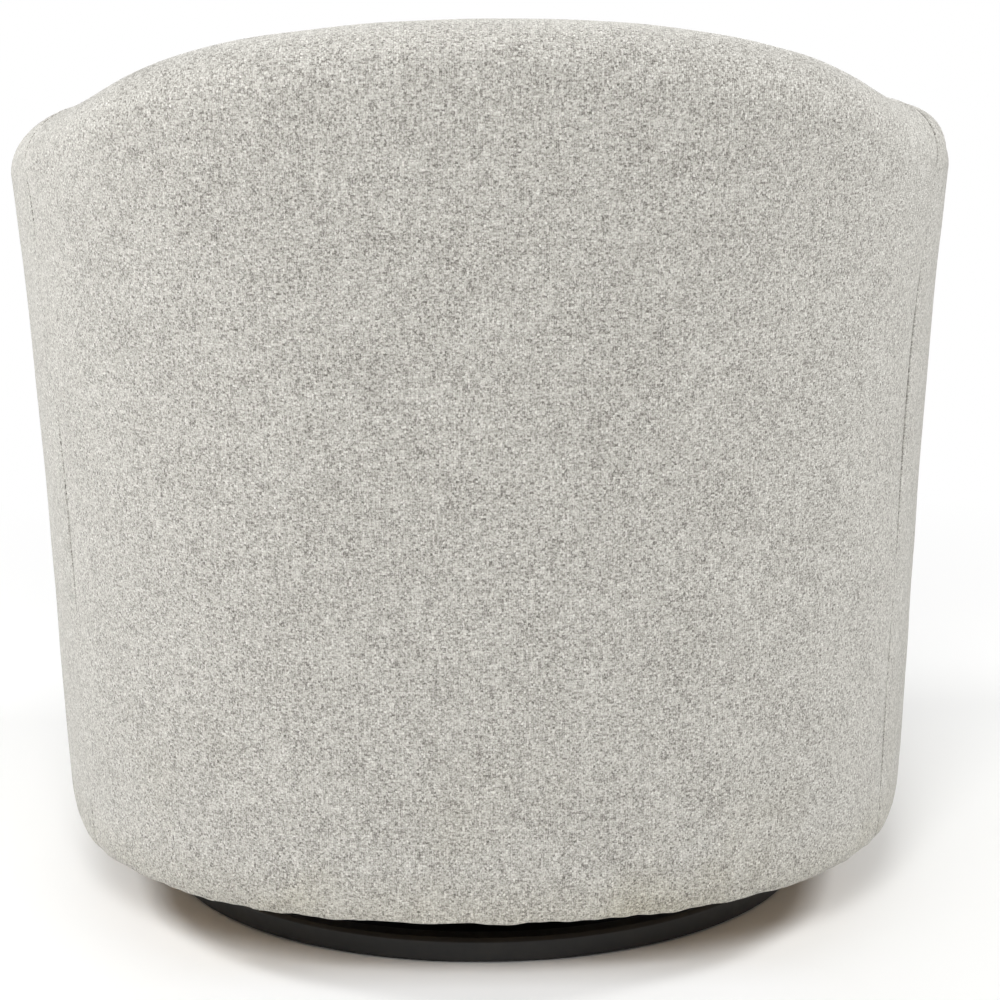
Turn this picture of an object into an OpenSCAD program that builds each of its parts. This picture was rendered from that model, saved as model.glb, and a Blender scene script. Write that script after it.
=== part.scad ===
// Swivel rocker: a barrel-back upholstered armchair that rocks on a sprung pivot
// frame and turns on a ball race carried by a low ring base.
// The front is -Y, the sitter's left is +X and the floor is at z = 0. The swivel
// axis is the Z axis and the rocking axis runs along X at pivot_z.

/* [Body] */
// Height of the back's crest above the floor
chair_h = 770; // [750:5:790]
// Height of the arms at their fronts
arm_front_h = 588; // [570:2:606]
// Rise of each arm from its front to beside the swivel axis
arm_rise = 64; // [50:1:74]
// Height of the upholstered body's lower edge
skirt_z = 65; // [62:1:68]
// Half width of the body at its lower edge
low_half_w = 362; // [356:1:370]
// How far each side leans out on its way up to crest height
lean_w = 18; // [14:1:22]
// How much each side flares out near crest height
flare_w = 32; // [24:1:34]
// Reach of the back behind the swivel axis at its lower edge
low_rear = 363; // [358:1:370]
// How far the back leans out on its way up
lean_rear = 12; // [8:1:16]
// How much the back flares out near the crest
flare_rear = 18; // [12:1:22]
// How much each arm draws in toward its front
tuck = 22; // [15:1:26]
// Squareness of the body's plan, where 2 is an ellipse
plan_power = 2.25; // [2.15:0.05:2.35]

/* [Walls and pads] */
// Thickness of each arm, from outside to inside
arm_wall = 108; // [104:1:114]
// Thickness of the back at its crest
back_wall = 97; // [95:1:102]
// Reach of the inside back behind the swivel axis at the seat deck
seat_rear = 185; // [178:1:192]
// Thickness of the outside panels with their padding
panel_t = 8; // [7:0.5:9]
// Thickness of the inside pads below the roll
pad_t = 45; // [42:1:46]
// Thickness of the arm front panels
front_panel_t = 10; // [8:1:12]
// Radius by which the lower hem turns under
hem_round = 4; // [2:0.5:5]

/* [Seat] */
// Height of the top of the seat deck
deck_top = 293; // [285:1:300]
// Height of the seat cushion at its crown
cushion_h = 176; // [160:2:185]
// Gap between the cushion and the inside pads
cushion_gap = 3; // [2:0.5:5]
// Bow of the front border
border_bow = 9; // [6:1:10]

/* [Wood frame] */
// Thickness of the boards and plywood rails
board_t = 18; // [16:1:20]
// Gap between the seat box and the arm posts
box_gap = 1; // [1:0.5:6]
// Gap between the seat box and the back posts
box_back_gap = 80; // [74:1:88]
// Height of the cleats that the rocker bolts to
cleat_h = 24; // [20:1:28]
// Width of the cleats
cleat_w = 44; // [38:1:50]

/* [Rocker] */
// Height of the rocking pivot above the floor
pivot_z = 100; // [98:1:102]
// Furthest the chair leans back, in degrees
lean_back_angle = 8; // [5:0.5:8]
// Furthest the chair leans forward, in degrees
lean_front_angle = 6; // [4:0.5:7]
// Thickness of the rocker's steel plates
steel_t = 4; // [3:0.5:4]
// Half width of the lower frame
lower_half_w = 152; // [145:1:156]
// Half length of the lower frame
lower_half_l = 140; // [136:1:146]
// Distance of the coil springs and cross bars from the rocking axis
spring_y = 115; // [112:1:118]
// Distance of the coil springs from the middle of the chair
spring_x = 85; // [80:1:90]
// Outside diameter of the coil springs
spring_od = 44; // [40:1:46]
// Wire diameter of the coil springs
spring_wire = 5; // [4:0.5:5.5]
// Number of turns in each coil spring
spring_turns = 5; // [4:1:6]

/* [Base] */
// Outside diameter of the ring base
ring_d = 558; // [540:2:566]
// Height of the ring above the glides' feet
ring_top = 21; // [19:0.5:22]
// Width of the ring's section
ring_w = 39; // [34:1:44]
// Standing height of the floor glides
glide_h = 2; // [1.5:0.5:3]
// Number of floor glides
glides = 8; // [4:2:12]
// Ball diameter of the swivel race
ball_d = 8; // [7:0.5:8]
// Pitch radius of the swivel race
race_r = 46; // [44:1:50]
// Number of balls in the swivel race
balls = 14; // [10:1:16]

/* [Hidden] */
$fn = 64;

// Clearance between soft pieces and what they lie against
soft_gap = 0.3;
// Clearance round a shaft that turns in its hole
run_gap = 0.05;
// Clearance round a bolt in its hole
bolt_gap = 0.2;
// Extra reach of a cut beyond the piece that it cuts
over = 1;

// Stations round the body are angles in plan: 0 is beside the swivel axis on the
// left, 90 is the middle of the back and -front_span is the front of the left arm.
front_span = 60;
// Station of the vertical seam between the outside back and each outside arm
seam_p = 26.4;
// Half of a vertical seam's gap, as an angle
seam_gap_p = 0.03;
// Place of the crest seam on the skin, where 1 is the outer shoulder and 2 the inner
crest_share = 1.62;
// Half of the crest seam's gap on the skin
crest_gap_share = 0.002;
// Height of the crest's roll against half of the wall's thickness
roll_share = 0.85;
// Place behind the swivel axis where the arms sweep up into the back
sweep_y = 190;
// Softness of that sweep
sweep_soft = 50;

crest_rear = low_rear + lean_rear + flare_rear;
// The arm fronts stand as far in front of the swivel axis as the back stands behind it
front_y = rear(chair_h - roll_share * back_wall / 2);
arm_slope_share = arm_rise / front_y;
sweep_slope_share = (chair_h - arm_front_h - arm_slope_share * (crest_rear + front_y))
    / (sweep(crest_rear) - sweep(-front_y));

function unit(v) = v / norm(v);
function rounded(v) = sign(v) * pow(abs(v), 2 / plan_power);
function up_share(z) = (z - skirt_z) / (chair_h - skirt_z);
function half_w(z) = low_half_w + lean_w * up_share(z) + flare_w * pow(up_share(z), 3);
function rear(z) = low_rear + lean_rear * up_share(z) + flare_rear * pow(up_share(z), 3);
function inner_rear(z) = seat_rear
    + (crest_rear - back_wall - seat_rear) * (z - deck_top) / (chair_h - deck_top);
function sweep(y) = (y - sweep_y + norm([y - sweep_y, sweep_soft])) / 2;

// Plan of the body at a station, for a half width a and a reach b behind the axis
function plan(p, a, b) =
    p < 0 ? [a - tuck * pow(p / front_span, 2), front_y * p / front_span]
    : p > 180 ? [tuck * pow((p - 180) / front_span, 2) - a, front_y * (180 - p) / front_span]
    : [a * rounded(cos(p)), b * rounded(sin(p))];
function wall_out(p, z) = plan(p, half_w(z), rear(z));
function wall_in(p, z) = plan(p, half_w(z) - arm_wall, inner_rear(z));
function wall_t(p, z) = norm(wall_in(p, z) - wall_out(p, z));
// A point u inward from the outer wall at a station and height
function across(p, u, z) =
    let (o = wall_out(p, z), q = o + unit(wall_in(p, z) - o) * u) [q[0], q[1], z];

function top_z(p) =
    let (y = plan(p, half_w(chair_h), crest_rear)[1])
    arm_front_h + arm_slope_share * (y + front_y)
        + sweep_slope_share * (sweep(y) - sweep(-front_y));
function roll_h(p) = roll_share * wall_t(p, top_z(p)) / 2;
function shoulder_z(p) = top_z(p) - roll_h(p);

// Bottom of the inside pads
pad_z = deck_top + soft_gap;

// The skin runs up the outer wall for v from 0 to 1, over the roll from 1 to 2 and
// down the inner wall from 2 to 3. A depth t lies that far under it.
function skin(p, v, t) =
    let (s = shoulder_z(p), w = wall_t(p, s))
    v <= 1 ? across(p, t, skirt_z + (s - skirt_z) * v)
    : v < 2 ? across(p, w / 2 - (w / 2 - t) * cos(180 * (v - 1)), s)
        + [0, 0, (roll_h(p) - t) * sin(180 * (v - 1))]
    : let (z = s - (s - pad_z) * (v - 2)) across(p, wall_t(p, z) - t, z);

function steps(first, last, n) = [for (i = [0:n]) first + (last - first) * i / n];

// Stations of the back and of the left arm, which neighbours share
back_stations = steps(seam_p + seam_gap_p, 180 - seam_p - seam_gap_p, 27);
arm_front_p = -front_span * (1 - (front_panel_t + soft_gap) / front_y);
arm_stations = steps(arm_front_p, seam_p - seam_gap_p, 12);

// Rows on the skin, which neighbours share
hem_share = 0.012;
panel_wall_shares = [0, hem_share, 0.2, 0.4, 0.6, 0.8, 1];
panel_roll_shares = steps(1, crest_share - crest_gap_share, 5);
panel_shares = concat(panel_wall_shares, [for (i = [1:5]) panel_roll_shares[i]]);
pad_roll_shares = steps(crest_share + crest_gap_share, 2, 4);
pad_wall_shares = [2.25, 2.5, 2.75, 3];
pad_shares = concat(pad_roll_shares, pad_wall_shares);
liner_shares = [2.1, 2.25, 2.5, 2.75, 3];

// Depth of the pads under the skin, which grows from the crest seam to the inner wall
function pad_depth(v) =
    panel_t + (pad_t - panel_t) * min(1, max(0, (v - crest_share) / (2 - crest_share)));

function quad(a, b, c, d) = [[a, b, c], [a, c, d]];
function shell_faces(n, m) =
    let (k = n * m) [
        for (i = [0:n - 2]) for (j = [0:m - 2]) let (q = i * m + j)
            each concat(quad(q, q + 1, q + m + 1, q + m),
                quad(k + q, k + q + m, k + q + m + 1, k + q + 1)),
        for (i = [0:n - 2]) let (q = i * m, e = i * m + m - 1)
            each concat(quad(q, q + m, k + q + m, k + q), quad(e + m, e, k + e, k + e + m)),
        for (j = [0:m - 2]) let (q = j, e = (n - 1) * m + j)
            each concat(quad(q, k + q, k + q + 1, q + 1), quad(e, e + 1, k + e + 1, k + e))
    ];

// A piece of wall between two depths of the skin
module shell(stations, shares, outer_t, inner_t) {
    n = len(stations);
    m = len(shares);
    polyhedron(
        concat(
            [for (p = stations) for (j = [0:m - 1]) skin(p, shares[j], outer_t[j])],
            [for (p = stations) for (j = [0:m - 1]) skin(p, shares[j], inner_t[j])]
        ),
        shell_faces(n, m),
        convexity = 8
    );
}

// A solid swept through loops of points that all have the same count
function loop_faces(n, m) = [
    for (i = [0:n - 2]) for (j = [0:m - 1]) let (q = i * m + j, r = i * m + (j + 1) % m)
        each quad(r, q, q + m, r + m),
    for (j = [1:m - 2]) [0, j, j + 1],
    for (j = [1:m - 2]) let (e = (n - 1) * m) [e, e + j + 1, e + j]
];
module swept(loops) {
    n = len(loops);
    m = len(loops[0]);
    polyhedron([for (loop = loops) each loop], loop_faces(n, m), convexity = 8);
}

module mirrored() {
    mirror([1, 0, 0]) children();
}
module at_both_sides() {
    children();
    mirrored() children();
}
module along_x(x, y, z) {
    translate([x, y, z]) rotate([0, 90, 0]) children();
}
module hex(r, h) {
    cylinder(r = r, h = h, $fn = 6);
}

// Ring base, from the floor up, with screw holes in its ledge
ring_r = ring_d / 2;
ring_in_r = ring_r - ring_w;
ring_bevel = 3;
ring_wall = 17;
ledge_top = 10;
ring_lip = 4;
screw_r = 3;
screw_depth = 6;
screw_ledge_r = ring_in_r + (ring_w - ring_wall - ring_lip) / 2;
spider_arms = 4;
module spider_places(r) {
    for (i = [0:spider_arms - 1])
        rotate(45 + 360 * i / spider_arms) translate([r, 0, 0]) children();
}

module base_ring() {
    color([0.09, 0.09, 0.09]) difference() {
        rotate_extrude($fn = 128) polygon([
            [ring_in_r, glide_h],
            [ring_r, glide_h],
            [ring_r, ring_top - ring_bevel],
            [ring_r - ring_bevel, ring_top],
            [ring_r - ring_wall, ring_top],
            [ring_r - ring_wall - ring_lip, ring_top - ring_lip],
            [ring_r - ring_wall - ring_lip, ledge_top],
            [ring_in_r, ledge_top]
        ]);
        spider_places(screw_ledge_r) translate([0, 0, ledge_top - screw_depth - bolt_gap])
            cylinder(r = screw_r + bolt_gap, h = screw_depth + bolt_gap + over);
    }
}

glide_r = 12;
glide_taper = 2;
module ring_glides() {
    color([0.16, 0.16, 0.17]) for (i = [0:glides - 1])
        rotate(360 * i / glides) translate([ring_r - ring_w / 2, 0, 0])
            cylinder(r1 = glide_r - glide_taper, r2 = glide_r, h = glide_h);
}

// Spider: a pressed disc with four arms that lie on the ring's ledge
spider_t = 5;
spider_top = ledge_top + spider_t;
spider_r = 90;
spider_arm_w = 46;
spider_reach = ring_r - ring_wall - ring_lip - soft_gap;
spider_rib_w = 10;
spider_rib_h = 3;
rib_margin = 8;
post_r = 10;
module spider() {
    color([0.12, 0.12, 0.12]) difference() {
        union() {
            translate([0, 0, ledge_top]) cylinder(r = spider_r, h = spider_t);
            spider_places(0) intersection() {
                translate([0, -spider_arm_w / 2, ledge_top])
                    cube([spider_reach, spider_arm_w, spider_t]);
                translate([0, 0, ledge_top]) cylinder(r = spider_reach, h = spider_t, $fn = 128);
            }
            spider_places(spider_r + rib_margin)
                translate([0, -spider_rib_w / 2, spider_top])
                    cube([ring_in_r - spider_r - 2 * rib_margin, spider_rib_w, spider_rib_h]);
        }
        translate([0, 0, ledge_top - over])
            cylinder(r = post_r + run_gap, h = spider_t + 2 * over);
        spider_places(screw_ledge_r) translate([0, 0, ledge_top - over])
            cylinder(r = screw_r + bolt_gap, h = spider_t + 2 * over);
    }
}

screw_head_r = 6;
screw_head_h = 3;
module spider_screws() {
    color([0.55, 0.55, 0.57]) spider_places(screw_ledge_r) translate([0, 0, ledge_top]) {
        translate([0, 0, -screw_depth]) cylinder(r = screw_r, h = spider_t + screw_depth);
        translate([0, 0, spider_t])
            cylinder(r1 = screw_head_r, r2 = screw_head_r - screw_head_h / 2, h = screw_head_h);
    }
}

// Ball race between the spider and the swivel plate
race_t = 5;
race_gap = 2;
race_half_w = 14;
groove_gap = 0.1;
race_low_top = spider_top + race_t;
ball_z = race_low_top + race_gap / 2;
race_up_z = race_low_top + race_gap;
plate_z = race_up_z + race_t;
module race_ring(z) {
    difference() {
        translate([0, 0, z]) cylinder(r = race_r + race_half_w, h = race_t, $fn = 96);
        translate([0, 0, z - over])
            cylinder(r = race_r - race_half_w, h = race_t + 2 * over, $fn = 96);
        translate([0, 0, ball_z]) rotate_extrude($fn = 96)
            translate([race_r, 0]) circle(r = ball_d / 2 + groove_gap, $fn = 32);
    }
}
module lower_race() {
    color([0.7, 0.7, 0.71]) race_ring(spider_top);
}
module upper_race() {
    color([0.7, 0.7, 0.71]) race_ring(race_up_z);
}

module at_balls() {
    for (i = [0:balls - 1])
        rotate(360 * i / balls) translate([race_r, 0, ball_z]) children();
}
module race_balls() {
    color([0.8, 0.8, 0.82]) at_balls() sphere(d = ball_d, $fn = 24);
}
cage_t = 1.4;
cage_half_w = 8;
module race_cage() {
    color([0.75, 0.68, 0.45]) difference() {
        translate([0, 0, ball_z - cage_t / 2])
            cylinder(r = race_r + cage_half_w, h = cage_t, $fn = 96);
        translate([0, 0, ball_z - cage_t / 2 - over])
            cylinder(r = race_r - cage_half_w, h = cage_t + 2 * over, $fn = 96);
        at_balls() translate([0, 0, -cage_t / 2 - over])
            cylinder(d = ball_d + 2 * groove_gap, h = cage_t + 2 * over);
    }
}

// Swivel plate, turning on the post by its hub
plate_t = 4;
plate_r = 100;
hub_r = 16;
hub_rise = 8;
pan_z = plate_z + plate_t;
pan_top = pan_z + steel_t;
hub_top = pan_top + hub_rise;
plate_bolt_r = 4;
plate_bolt_places = 80;
bolt_head_h = 5;
bolt_head_r = 7.5;
module at_plate_bolts() {
    for (a = [45:90:315]) rotate(a) translate([plate_bolt_places, 0, 0]) children();
}
module swivel_plate() {
    color([0.13, 0.13, 0.13]) difference() {
        union() {
            translate([0, 0, plate_z]) cylinder(r = plate_r, h = plate_t, $fn = 96);
            translate([0, 0, plate_z]) cylinder(r = hub_r, h = hub_top - plate_z);
        }
        translate([0, 0, plate_z - over])
            cylinder(r = post_r + run_gap, h = hub_top - plate_z + 2 * over);
        at_plate_bolts() translate([0, 0, plate_z - over])
            cylinder(r = plate_bolt_r + bolt_gap, h = plate_t + 2 * over);
    }
}
module plate_bolts() {
    color([0.6, 0.6, 0.62]) at_plate_bolts() {
        translate([0, 0, plate_z - bolt_head_h]) cylinder(r = plate_bolt_r,
            h = pan_top + bolt_head_h - plate_z);
        translate([0, 0, pan_top]) hex(bolt_head_r, bolt_head_h);
        translate([0, 0, plate_z - bolt_head_h]) hex(bolt_head_r, bolt_head_h);
    }
}

// Swivel post, with its flange under the spider and a washer and nut over the hub
flange_r = 20;
flange_h = 4;
washer_t = 2;
washer_lip = 1;
nut_h = 9;
nut_r = 15;
post_tip = 2;
washer_z = hub_top + run_gap;
nut_z = washer_z + washer_t;
module swivel_post() {
    color([0.6, 0.6, 0.62]) {
        translate([0, 0, ledge_top - flange_h]) cylinder(r = flange_r, h = flange_h);
        translate([0, 0, ledge_top - flange_h])
            cylinder(r = post_r, h = nut_z + nut_h + post_tip - ledge_top + flange_h);
    }
}
module post_washer() {
    color([0.7, 0.7, 0.72]) difference() {
        translate([0, 0, washer_z]) cylinder(r = hub_r + washer_lip, h = washer_t);
        translate([0, 0, washer_z - over]) cylinder(r = post_r + run_gap, h = washer_t + 2 * over);
    }
}
module post_nut() {
    color([0.6, 0.6, 0.62]) difference() {
        translate([0, 0, nut_z]) hex(nut_r, nut_h);
        translate([0, 0, nut_z - over]) cylinder(r = post_r + run_gap, h = nut_h + 2 * over);
    }
}

// Rocker: a lower frame on the swivel plate and an upper frame under the seat
side_plate_h = 49;
side_plate_top = pan_top + side_plate_h;
ear_r = 16;
pivot_r = 6;
bush_r = 8;
bush_flange_r = 12;
side_gap = 4;
upper_x = lower_half_w + side_gap;
upper_rail_w = 40;
rail_rise = 17;
upper_rail_z = pivot_z + rail_rise;
upper_rail_top = upper_rail_z + steel_t;
upper_half_l = 150;
bar_half_w = 25;
shelf_l = 24;
spring_seat_gap = 2;
spring_seat_r = spring_od / 2 - spring_wire - spring_seat_gap;
spring_seat_h = 6;
module at_springs() {
    for (sx = [-1, 1]) for (sy = [-1, 1])
        translate([sx * spring_x, sy * spring_y, 0]) children();
}
module rocker_lower_frame() {
    color([0.14, 0.14, 0.14]) difference() {
        union() {
            translate([-lower_half_w, -lower_half_l, pan_z])
                cube([2 * lower_half_w, 2 * lower_half_l, steel_t]);
            at_both_sides() difference() {
                union() {
                    translate([lower_half_w - steel_t, -lower_half_l, pan_z])
                        cube([steel_t, 2 * lower_half_l, side_plate_top - pan_z]);
                    along_x(lower_half_w - steel_t, 0, pivot_z) cylinder(r = ear_r, h = steel_t);
                    translate([lower_half_w - steel_t, -ear_r, side_plate_top - steel_t])
                        cube([steel_t, 2 * ear_r, pivot_z - side_plate_top + steel_t]);
                    for (sy = [-1, 1])
                        translate([lower_half_w - shelf_l,
                            sy * spring_y - shelf_l / 2, side_plate_top - steel_t])
                            cube([shelf_l, shelf_l, steel_t]);
                }
                along_x(lower_half_w - steel_t - over, 0, pivot_z)
                    cylinder(r = pivot_r + run_gap, h = steel_t + 2 * over);
            }
            at_springs() translate([0, 0, pan_top]) cylinder(r = spring_seat_r, h = spring_seat_h);
        }
        translate([0, 0, pan_z - over]) cylinder(r = hub_r + bolt_gap, h = steel_t + 2 * over);
        at_plate_bolts() translate([0, 0, pan_z - over])
            cylinder(r = plate_bolt_r + bolt_gap, h = steel_t + 2 * over);
    }
}

pivot_head_h = 6;
pivot_head_r = 10;
pivot_side_gap = 0.1;
module pivot_bolts() {
    color([0.62, 0.62, 0.64]) at_both_sides() {
        along_x(lower_half_w - steel_t - pivot_head_h, 0, pivot_z)
            cylinder(r = pivot_r, h = 2 * steel_t + side_gap + pivot_side_gap + pivot_head_h);
        along_x(lower_half_w - steel_t - pivot_head_h, 0, pivot_z) hex(pivot_head_r, pivot_head_h);
        along_x(upper_x + steel_t + pivot_side_gap, 0, pivot_z) hex(pivot_head_r, pivot_head_h);
    }
}
module pivot_bushes() {
    color([0.85, 0.84, 0.8]) at_both_sides() difference() {
        union() {
            along_x(lower_half_w + pivot_side_gap, 0, pivot_z)
                cylinder(r = bush_flange_r, h = side_gap - pivot_side_gap);
            along_x(lower_half_w + pivot_side_gap, 0, pivot_z)
                cylinder(r = bush_r, h = side_gap + steel_t - pivot_side_gap);
        }
        along_x(lower_half_w - over, 0, pivot_z)
            cylinder(r = pivot_r + run_gap, h = side_gap + steel_t + 2 * over);
    }
}

// Each bumper stops the cross bar over it at the end of the rock
bumper_w = 22;
bumper_gap = 0.4;
function bumper_top(lean) = pivot_z + (upper_rail_z - pivot_z) * cos(lean)
    - (spring_y + bumper_w / 2) * sin(lean) - bumper_gap;
module rock_bumper(y, top) {
    at_both_sides() translate([lower_half_w - bumper_w, y - bumper_w / 2, side_plate_top])
        cube([bumper_w, bumper_w, top - side_plate_top]);
}
module rock_bumpers() {
    color([0.08, 0.08, 0.08]) {
        rock_bumper(spring_y, bumper_top(lean_back_angle));
        rock_bumper(-spring_y, bumper_top(lean_front_angle));
    }
}

// Coil springs, each one tube that starts and ends with half a flat turn
curl_rings = 8;
curl_sides = 6;
flat_turns = 0.5;
spring_r = (spring_od - spring_wire) / 2;
spring_low = pan_top + soft_gap + spring_wire / 2;
spring_high = upper_rail_z - soft_gap - spring_wire / 2;
function spring_climb(turn) =
    min(1, max(0, (turn - flat_turns) / (spring_turns - 2 * flat_turns)));
function spring_point(turn) = [
    spring_r * cos(360 * turn),
    spring_r * sin(360 * turn),
    spring_low + (spring_high - spring_low) * spring_climb(turn)
];
function spring_ring(turn) = let (c = spring_point(turn), a = 360 * turn) [
    for (k = [0:curl_sides - 1]) let (b = 90 - 360 * k / curl_sides)
        c + spring_wire / 2 * [cos(b) * cos(a), cos(b) * sin(a), sin(b)]
];
spring_points = [
    for (i = [0:spring_turns * curl_rings]) spring_point(i / curl_rings)
];
spring_gap = min([
    for (i = [0:len(spring_points) - 1]) for (j = [i + curl_rings / 2:1:len(spring_points) - 1])
        norm(spring_points[i] - spring_points[j])
]) - spring_wire;
echo(least_gap_within_a_coil_spring = spring_gap);
module rock_springs(y) {
    color([0.35, 0.35, 0.37]) for (sx = [-1, 1]) translate([sx * spring_x, y, 0])
        swept([for (i = [0:spring_turns * curl_rings]) spring_ring(i / curl_rings)]);
}
module front_rock_springs() {
    rock_springs(-spring_y);
}
module rear_rock_springs() {
    rock_springs(spring_y);
}

frame_bolt_r = 4;
frame_bolt_edge = 16;
frame_bolt_x = upper_x + upper_rail_w - frame_bolt_edge;
cover_t = 1.2;
cover_gap = 0.15;
cleat_z = upper_rail_top + cover_t + 2 * cover_gap;
frame_bolt_share = 0.7;
frame_bolt_reach = cleat_z - upper_rail_z + cleat_h * frame_bolt_share;
module at_frame_bolts() {
    for (sx = [-1, 1]) for (sy = [-1, 1])
        translate([sx * frame_bolt_x, sy * spring_y, 0]) children();
}
module frame_bolts() {
    color([0.6, 0.6, 0.62]) at_frame_bolts() {
        translate([0, 0, upper_rail_z - bolt_head_h]) hex(bolt_head_r, bolt_head_h);
        translate([0, 0, upper_rail_z]) cylinder(r = frame_bolt_r, h = frame_bolt_reach);
    }
}
module frame_bolt_holes() {
    at_frame_bolts() translate([0, 0, upper_rail_z - over])
        cylinder(r = frame_bolt_r + bolt_gap, h = frame_bolt_reach + over + bolt_gap);
}

module rocker_upper_frame() {
    color([0.14, 0.14, 0.14]) difference() {
        union() {
            at_both_sides() {
                translate([upper_x, -upper_half_l, upper_rail_z])
                    cube([upper_rail_w, 2 * upper_half_l, steel_t]);
                translate([upper_x, 0, pivot_z]) rotate([90, 0, 90])
                    linear_extrude(height = steel_t) polygon([
                        [-ear_r * cos(30), -ear_r / 2],
                        [ear_r * cos(30), -ear_r / 2],
                        [spring_y, upper_rail_z - pivot_z],
                        [-spring_y, upper_rail_z - pivot_z]
                    ]);
                along_x(upper_x, 0, pivot_z) cylinder(r = ear_r, h = steel_t);
            }
            for (sy = [-1, 1])
                translate([-upper_x, sy * spring_y - bar_half_w, upper_rail_z])
                    cube([2 * upper_x, 2 * bar_half_w, steel_t]);
            at_springs() translate([0, 0, upper_rail_z - spring_seat_h])
                cylinder(r = spring_seat_r, h = spring_seat_h);
        }
        at_both_sides() along_x(upper_x - over, 0, pivot_z)
            cylinder(r = bush_r + run_gap, h = steel_t + 2 * over);
        frame_bolt_holes();
    }
}

// Depth of the posts, which fill the wall between the outside panels and the pads
post_panel_gap = 10;
arm_post_pad_gap = 18;
back_post_pad_gap = 7;
post_inset = panel_t + post_panel_gap;
arm_post_depth = arm_wall - post_inset - pad_t - arm_post_pad_gap;
back_post_depth = back_wall - post_inset - pad_t - back_post_pad_gap;

// Seat box and its cleats
box_half_w = low_half_w - tuck - post_inset - arm_post_depth - box_gap;
box_rear = low_rear - post_inset - back_post_depth - box_back_gap;
box_setback = 44;
box_front = front_y - box_setback;
front_rail_lip = 3;
board_z = skirt_z + soft_gap + board_t;
webbing_t = 1.5;
deck_t = 5.5;
board_top = deck_top - deck_t - 2 * (webbing_t + soft_gap);
box_inner_w = box_half_w - board_t;
// The box's rear corners are cut off at a slant, so that they stay inside the plan
corner_w = 114;
corner_l = 93;
box_corner_x = box_half_w - corner_w;
box_side_y = box_rear - corner_l;
corner_cut = board_t * norm([corner_w, corner_l]);
module board(x, y, w, l) {
    translate([x, y, board_z]) cube([w, l, board_top - board_z]);
}
// A cleat ends at the side boards, or at the corner boards where it lies that far back
function cleat_half_l(y) = min(box_inner_w, box_half_w - corner_cut / corner_l
    - (y + cleat_w / 2 - box_side_y) * corner_w / corner_l);
module cleat(y) {
    color([0.72, 0.58, 0.38]) difference() {
        translate([-cleat_half_l(y), y - cleat_w / 2, cleat_z])
            cube([2 * cleat_half_l(y), cleat_w, cleat_h]);
        frame_bolt_holes();
    }
}
module front_cleat() {
    cleat(-spring_y);
}
module rear_cleat() {
    cleat(spring_y);
}
module seat_front_board() {
    color([0.75, 0.62, 0.43]) board(-box_half_w, -box_front, 2 * box_half_w, board_t);
}
module seat_back_board() {
    color([0.75, 0.62, 0.43])
        board(-box_corner_x, box_rear - board_t, 2 * box_corner_x, board_t);
}
module left_seat_board() {
    color([0.75, 0.62, 0.43])
        board(box_inner_w, board_t - box_front, board_t, box_front - board_t + box_side_y);
}
module right_seat_board() {
    mirrored() left_seat_board();
}
module seat_corner_boards() {
    color([0.75, 0.62, 0.43]) at_both_sides()
        translate([0, 0, board_z]) linear_extrude(height = board_top - board_z) polygon([
            [box_half_w, box_side_y],
            [box_corner_x, box_rear],
            [box_corner_x, box_rear - corner_cut / corner_w],
            [box_half_w - corner_cut / corner_l, box_side_y]
        ]);
}
function box_plan(inset) = [
    [inset - box_half_w, inset - box_front],
    [box_half_w - inset, inset - box_front],
    [box_half_w - inset, box_side_y - inset / 2],
    [box_corner_x - inset / 2, box_rear - inset],
    [inset / 2 - box_corner_x, box_rear - inset],
    [inset - box_half_w, box_side_y - inset / 2]
];
module dust_cover() {
    color([0.07, 0.07, 0.07]) difference() {
        translate([0, 0, upper_rail_top + cover_gap]) linear_extrude(height = cover_t)
            polygon(box_plan(board_t + soft_gap));
        frame_bolt_holes();
    }
}
strap_w = 50;
long_straps = 5;
strap_spread_share = 0.7;
cross_straps = 5;
module seat_webbing() {
    color([0.2, 0.2, 0.2]) {
        for (x_share = steps(-strap_spread_share, strap_spread_share, long_straps - 1))
            translate([x_share * box_corner_x - strap_w / 2, -box_front, board_top])
                cube([strap_w, box_front + box_rear, webbing_t]);
        for (y = steps(board_t - box_front, box_side_y - strap_w, cross_straps - 1))
            translate([-box_half_w, y, board_top + webbing_t + soft_gap])
                cube([2 * box_half_w, strap_w, webbing_t]);
    }
}
module seat_deck() {
    color([0.3, 0.29, 0.27]) translate([0, 0, deck_top - deck_t])
        linear_extrude(height = deck_t) polygon(box_plan(0));
}

// Rails round the foot of the body
rail_in = panel_t + soft_gap;
side_rail_lap = 2.3;
back_rail_lap = 1.3;
side_rail_w = low_half_w - rail_in - box_inner_w + side_rail_lap;
back_rail_w = low_rear - rail_in - box_rear + back_rail_lap;
front_rail_w = 50;
module foot_rail(stations, w) {
    color([0.75, 0.62, 0.43]) translate([0, 0, skirt_z + soft_gap])
        linear_extrude(height = board_t) polygon([
            for (p = stations) flat(across(p, rail_in, skirt_z)),
            for (i = [len(stations) - 1:-1:0]) flat(across(stations[i], rail_in + w, skirt_z))
        ]);
}
function flat(v) = [v[0], v[1]];
module left_bottom_rail() {
    foot_rail(arm_stations, side_rail_w);
}
module right_bottom_rail() {
    mirrored() left_bottom_rail();
}
module bottom_back_rail() {
    foot_rail(back_stations, back_rail_w);
}
front_rail_half_w = across(arm_front_p, rail_in + side_rail_w, skirt_z)[0] - soft_gap;
module bottom_front_rail() {
    color([0.75, 0.62, 0.43])
        translate([-front_rail_half_w, -box_front - front_rail_lip, skirt_z + soft_gap])
            cube([2 * front_rail_half_w, front_rail_w, board_t]);
}

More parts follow.
